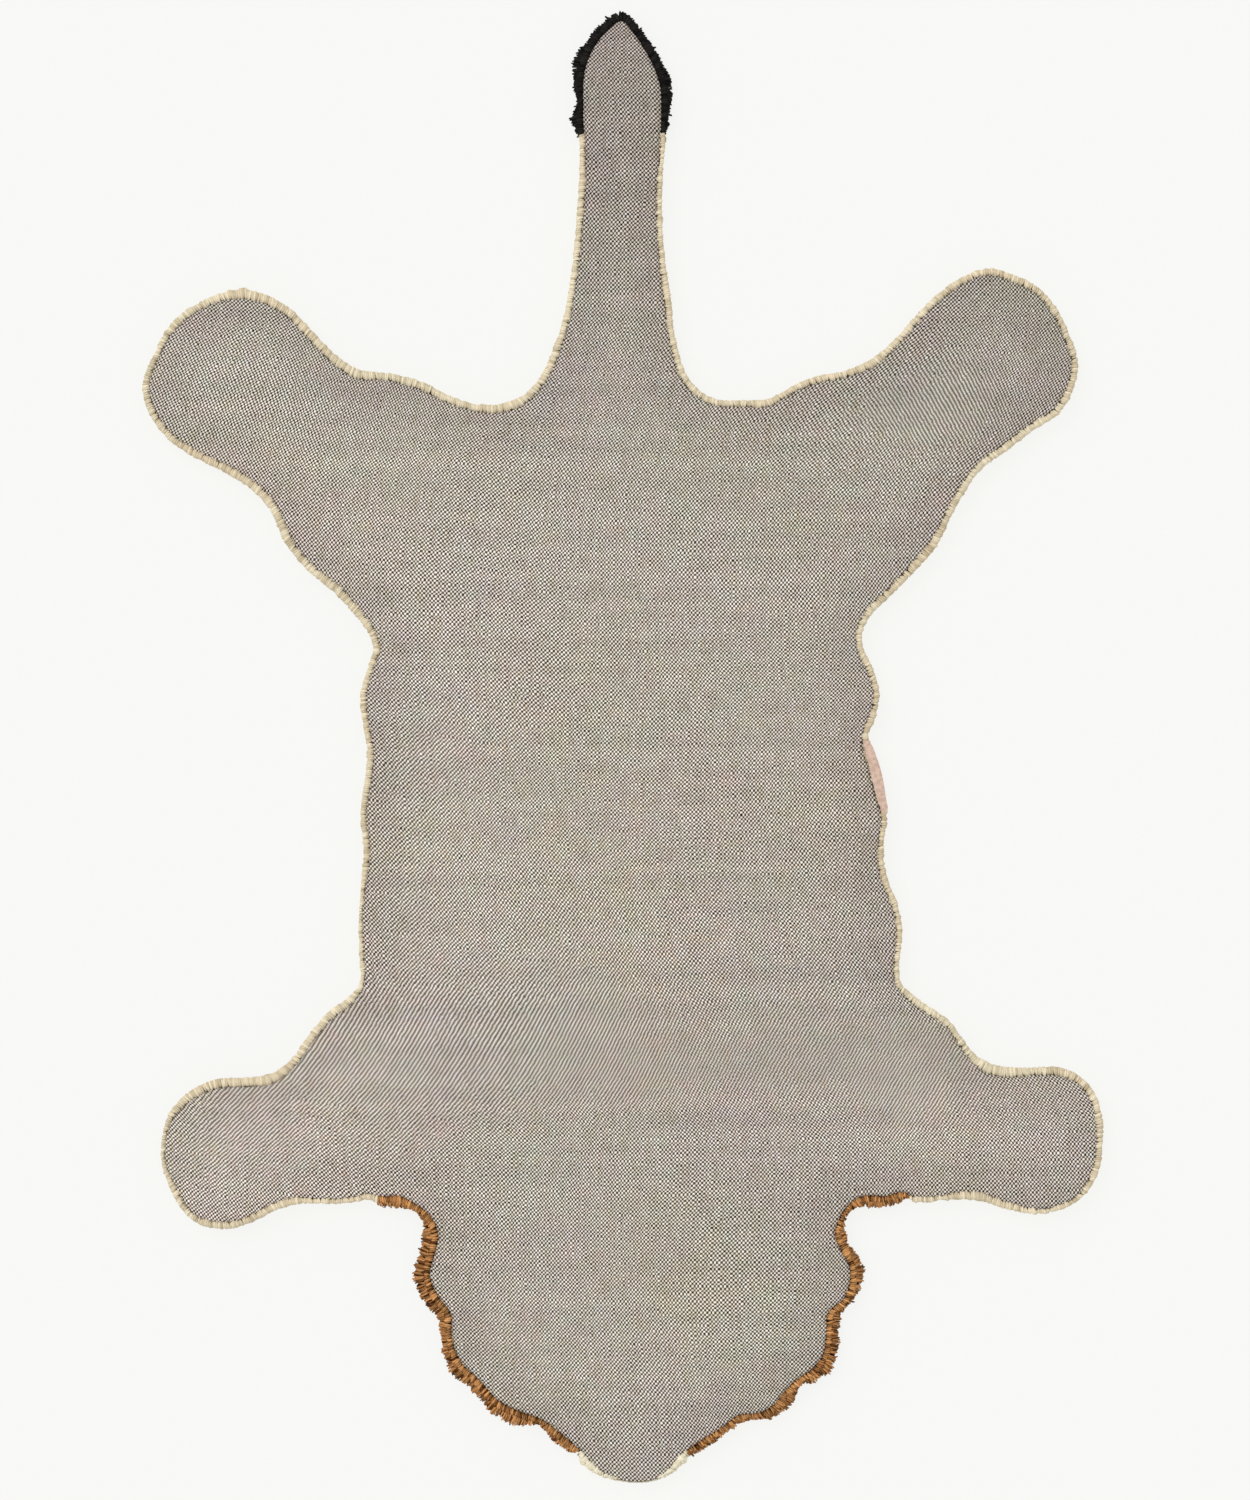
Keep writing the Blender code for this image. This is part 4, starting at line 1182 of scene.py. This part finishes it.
def canvas_material(weave):
    """Cream warp over charcoal weft, with wandering grain, uneven threads, faint bands, tints and painted
    shade; painted shadow in the gaps at the edge.
    """
    made, w, shader = new_material("canvas_back", CANVAS_ROUGHNESS, 0.0)
    place = w.place()
    x, y, _ = w.add("ShaderNodeSeparateXYZ", {"Vector": place}).outputs
    threads, warp_streak, weft_streak = canvas_threads(w, place, x, y)
    crossing = w.add("ShaderNodeTexWhiteNoise", {"Vector": w.vector("FLOOR", threads, (0, 0, 0))})

    def thread_colour(streak, colours):
        """Half of a thread's lightness is its own, and half is its crossing's."""
        own = w.span(streak, *NOISE_SPAN, 0.0, 0.5)
        return w.mix(w.math("MULTIPLY_ADD", crossing.outputs["Value"], 0.5, own), *colours)

    level, half_height, less = FLOATS_UPRIGHT
    below = w.span(y, (level - half_height) * MM, level * MM)
    above = w.span(y, (level + half_height) * MM, level * MM)
    woven = w.group(weave, {
        "Vector": threads,
        "Warp": thread_colour(warp_streak, WARP_COLOURS),
        "Weft": thread_colour(weft_streak, WEFT_COLOURS),
        "HollowShade": CANVAS_HOLLOW_SHADE,
        "Lean": w.math("MULTIPLY_ADD", w.math("MULTIPLY", below, above), -less, FLOAT_LEAN),
    })
    tinted = w.mix(1.0, woven["Color"], canvas_tint_and_painted_shade(w, place, x, y), "MULTIPLY")
    # Painted shadow in the gaps between the stitches where the yarn goes in at the canvas's edge.
    gaps = w.span(w.noise(place, GAPS_PER_METRE, 1.0)["Fac"], *GAP_NOISE)
    gaps = w.math("MULTIPLY_ADD", gaps, GAP_SHARE, SEAM_SHARE)
    dark = w.math("MULTIPLY", w.attribute("seam_shadow")["Fac"], gaps)
    finish_material(w, shader, w.mix(dark, tinted, SEAM_SHADOW_COLOUR), woven["Height"], CANVAS_RELIEF_MM)
    return made


def yarn_material(name, slot, yarn, turns):
    dark, light, blush, flank_shade, sheen = YARNS[slot]
    made, w, shader = new_material(name, YARN_ROUGHNESS, sheen)
    spun = w.group(yarn, {
        "Dark": (*dark, 1.0), "Light": (*light, 1.0), "Turns": turns, "Blush": blush, "FlankShade": flank_shade,
    })
    finish_material(w, shader, spun["Color"], spun["Height"], YARN_RELIEF_MM)
    return made


def label_material(weave):
    """A tightly woven pink-beige ribbon, with painted shade in its weave's hollows."""
    made, w, shader = new_material("label_ribbon", LABEL_ROUGHNESS, LABEL_SHEEN)
    place = w.place()
    turned = w.add("ShaderNodeMapping", {"Vector": place, "Rotation": (0.0, 0.0, LABEL_WEAVE_TURN)})
    threads = w.vector("SCALE", turned.outputs[0], 1.0 / (LABEL_THREAD_MM * MM))
    # The weave group paints shade into the hollows between the label's threads.
    woven = w.group(weave, {
        "Vector": threads, "HollowShade": LABEL_HOLLOW_SHADE, "Warp": LABEL_WARP, "Weft": LABEL_WEFT,
    })
    cloud = w.noise(place, LABEL_CLOUDS_PER_METRE, 3.0)["Fac"]
    tint = w.mix(w.span(cloud, *LABEL_CLOUD_SPAN), *LABEL_TINTS)
    tinted = w.mix(1.0, woven["Color"], tint, "MULTIPLY")
    finish_material(w, shader, tinted, woven["Height"], LABEL_RELIEF_MM)
    return made


# The label.


def label_mesh(rim):
    """A ribbon folded along its outer edge, lying on the pressed whipping, its ends cut square."""
    foot, head = rim.label_zone
    travels = np.linspace(foot, head, LABEL_RINGS)
    label = node_points("label")[:, :2]
    places, alongs, outs = rim.follow(travels)
    widths = []
    for place, along, out in zip(places, alongs, outs):
        offsets = label - place
        beside = abs(offsets @ along) < LABEL_NEAR_MM
        widths.append((offsets @ out)[beside].max())
    rings = 2 * LABEL_EVEN_RINGS + 1
    widths = np.pad(widths, LABEL_EVEN_RINGS, mode="edge")
    widths = np.convolve(widths, np.ones(rings) / rings, mode="valid")
    share, inner, drawn_in = np.array(LABEL_SHAPE).T
    inners = np.interp(np.linspace(0.0, 1.0, LABEL_RINGS), share, inner)
    widths -= np.interp(np.linspace(0.0, 1.0, LABEL_RINGS), share, drawn_in)
    # The section: the upper layer, the fold and the lower layer, then back along the crease inside.
    middle = LABEL_TOP_MM - LABEL_FOLD_MM
    turn = np.linspace(math.pi / 2, -math.pi / 2, LABEL_FOLD_STEPS)
    shape = bmesh.new()
    previous = None
    for travel, width, inner in zip(travels, widths, inners):
        outer, crease = (
            [(width - LABEL_FOLD_MM + radius * math.cos(a), middle + radius * math.sin(a)) for a in angles]
            for radius, angles in ((LABEL_FOLD_MM, turn), (LABEL_CREASE_MM, turn[::-1]))
        )
        section = [
            (inner, LABEL_TOP_MM), *outer, (inner, LABEL_TOP_MM - 2 * LABEL_FOLD_MM),
            (inner, middle - LABEL_CREASE_MM), *crease, (inner, middle + LABEL_CREASE_MM),
        ]
        distances, heights = np.array(section).T
        points = rim.points(np.full(len(section), travel), distances, heights)
        ring = [shape.verts.new(point * MM) for point in points]
        edges = [shape.edges.new((ring[i - 1], ring[i])) for i in range(len(ring))]
        if previous is None:
            shape.faces.new(ring)
        else:
            bmesh.ops.bridge_loops(shape, edges=previous + edges)
        previous = edges
    shape.faces.new(ring)
    return closed_mesh("label", shape, LABEL_CREASE_ANGLE), head - foot, float(np.mean(widths))


# The stage.


def add_stage():
    """A pale floor that is partly lit from within, so that almost no shadow shows, and soft even light."""
    bpy.ops.mesh.primitive_plane_add(size=FLOOR_SIZE_M, location=(0.0, 0.0, -FLOOR_DROP_M))
    floor = bpy.context.active_object
    floor.name = "floor"
    made = bpy.data.materials.new("floor_paper")
    made.use_nodes = True
    shader = made.node_tree.nodes["Principled BSDF"]
    shader.inputs["Base Color"].default_value = FLOOR_COLOUR
    shader.inputs["Roughness"].default_value = 1.0
    shader.inputs["Specular IOR Level"].default_value = 0.0
    shader.inputs["Emission Color"].default_value = FLOOR_GLOW
    shader.inputs["Emission Strength"].default_value = FLOOR_GLOW_STRENGTH
    floor.data.materials.append(made)

    world = bpy.data.worlds.new("soft_light")
    world.use_nodes = True
    background = world.node_tree.nodes["Background"]
    background.inputs["Color"].default_value = WHITE
    background.inputs["Strength"].default_value = SKY_STRENGTH
    bpy.context.scene.world = world

    light = bpy.data.lights.new("window_light", "SUN")
    light.energy = SUN_STRENGTH
    light.angle = SUN_SOFTNESS
    lamp = bpy.data.objects.new("window_light", light)
    lamp.rotation_euler = SUN_TURN
    bpy.context.scene.collection.objects.link(lamp)


def add_camera():
    data = bpy.data.cameras.new("camera")
    data.lens = LENS_MM
    data.sensor_width = FILM_MM
    camera = bpy.data.objects.new("camera", data)
    distance = LENS_MM * FRAME_HEIGHT_MM / FILM_MM
    x, y = FRAME_MIDDLE_MM
    camera.location = (x * MM, y * MM, (CANVAS_TOP_MM + distance) * MM)
    bpy.context.scene.collection.objects.link(camera)
    bpy.context.scene.camera = camera
    bpy.context.scene.view_settings.view_transform = "Standard"


def main():
    rim = Rim()
    chance = np.random.default_rng(YARN_SEED)
    weave = plain_weave_group()
    yarn = spun_yarn_group()

    canvas = show(
        "canvas_back", canvas_mesh(rim), canvas_material(weave), ["backing_canvas"],
    )

    whipped = {slot: yarn_material("whipped_" + slot, slot, yarn, WHIPPING_TURNS) for slot in YARNS}
    for node, (slot, _, _) in EDGINGS.items():
        if node:
            whipping = whipping_mesh(rim, node, slot, chance)
            show(node.replace("edging", "whipping"), whipping, whipped[slot], [node])

    tufted = {slot: yarn_material("tufted_" + slot, slot, yarn, TUFT_TURNS) for slot in YARNS}
    spans = rim.spans
    muzzle_start, muzzle_end = spans["edging_brown_left"][1], spans["edging_brown_right"][0]

    spots = tuft_spots("pile_body", PILE_PITCH_MM, chance)
    halfway = float(np.median(spots[:, 1]))
    fore = join_meshes([
        slab_mesh("pile_body"),
        cut_pile_mesh("pile_body", spots[spots[:, 1] < halfway], chance),
    ])
    hind = cut_pile_mesh("pile_body", spots[spots[:, 1] >= halfway], chance)
    side = join_meshes([
        side_pile_mesh(rim, *spans["edging_cream_left"], chance),
        side_pile_mesh(rim, *spans["edging_cream_right"], chance),
    ])
    for name, mesh in (("cut_pile_fore", fore), ("cut_pile_hind", hind), ("cut_pile_side", side)):
        show(name, mesh, tufted["yarn_cream"], ["pile_body"])

    mane = join_meshes([
        slab_mesh("pile_mane"),
        shag_mesh("pile_mane", FACE_MIDDLE_MM, chance),
        fringe_mesh(rim, *spans["edging_brown_left"], "mane", chance),
        fringe_mesh(rim, *spans["edging_brown_right"], "mane", chance),
    ])
    show("mane_shag", mane, tufted["yarn_brown"], ["pile_mane"])
    muzzle = join_meshes([
        slab_mesh("pile_muzzle"),
        cut_pile_mesh("pile_muzzle", tuft_spots("pile_muzzle", PILE_PITCH_MM, chance), chance),
        fringe_mesh(rim, muzzle_start, muzzle_end, "muzzle", chance),
    ])
    show("muzzle_pile", muzzle, tufted["yarn_off_white"], ["pile_muzzle"])
    tail = join_meshes([
        slab_mesh("pile_tail_tip"),
        shag_mesh("pile_tail_tip", TAIL_TIP_MIDDLE_MM, chance),
        fringe_mesh(rim, *spans["edging_black"], "tail_tip", chance),
    ])
    show("tail_tip_shag", tail, tufted["yarn_black"], ["pile_tail_tip"])

    ribbon, ribbon_length, ribbon_width = label_mesh(rim)
    label = show("woven_label", ribbon, label_material(weave), ["label"])

    add_stage()
    add_camera()


main()
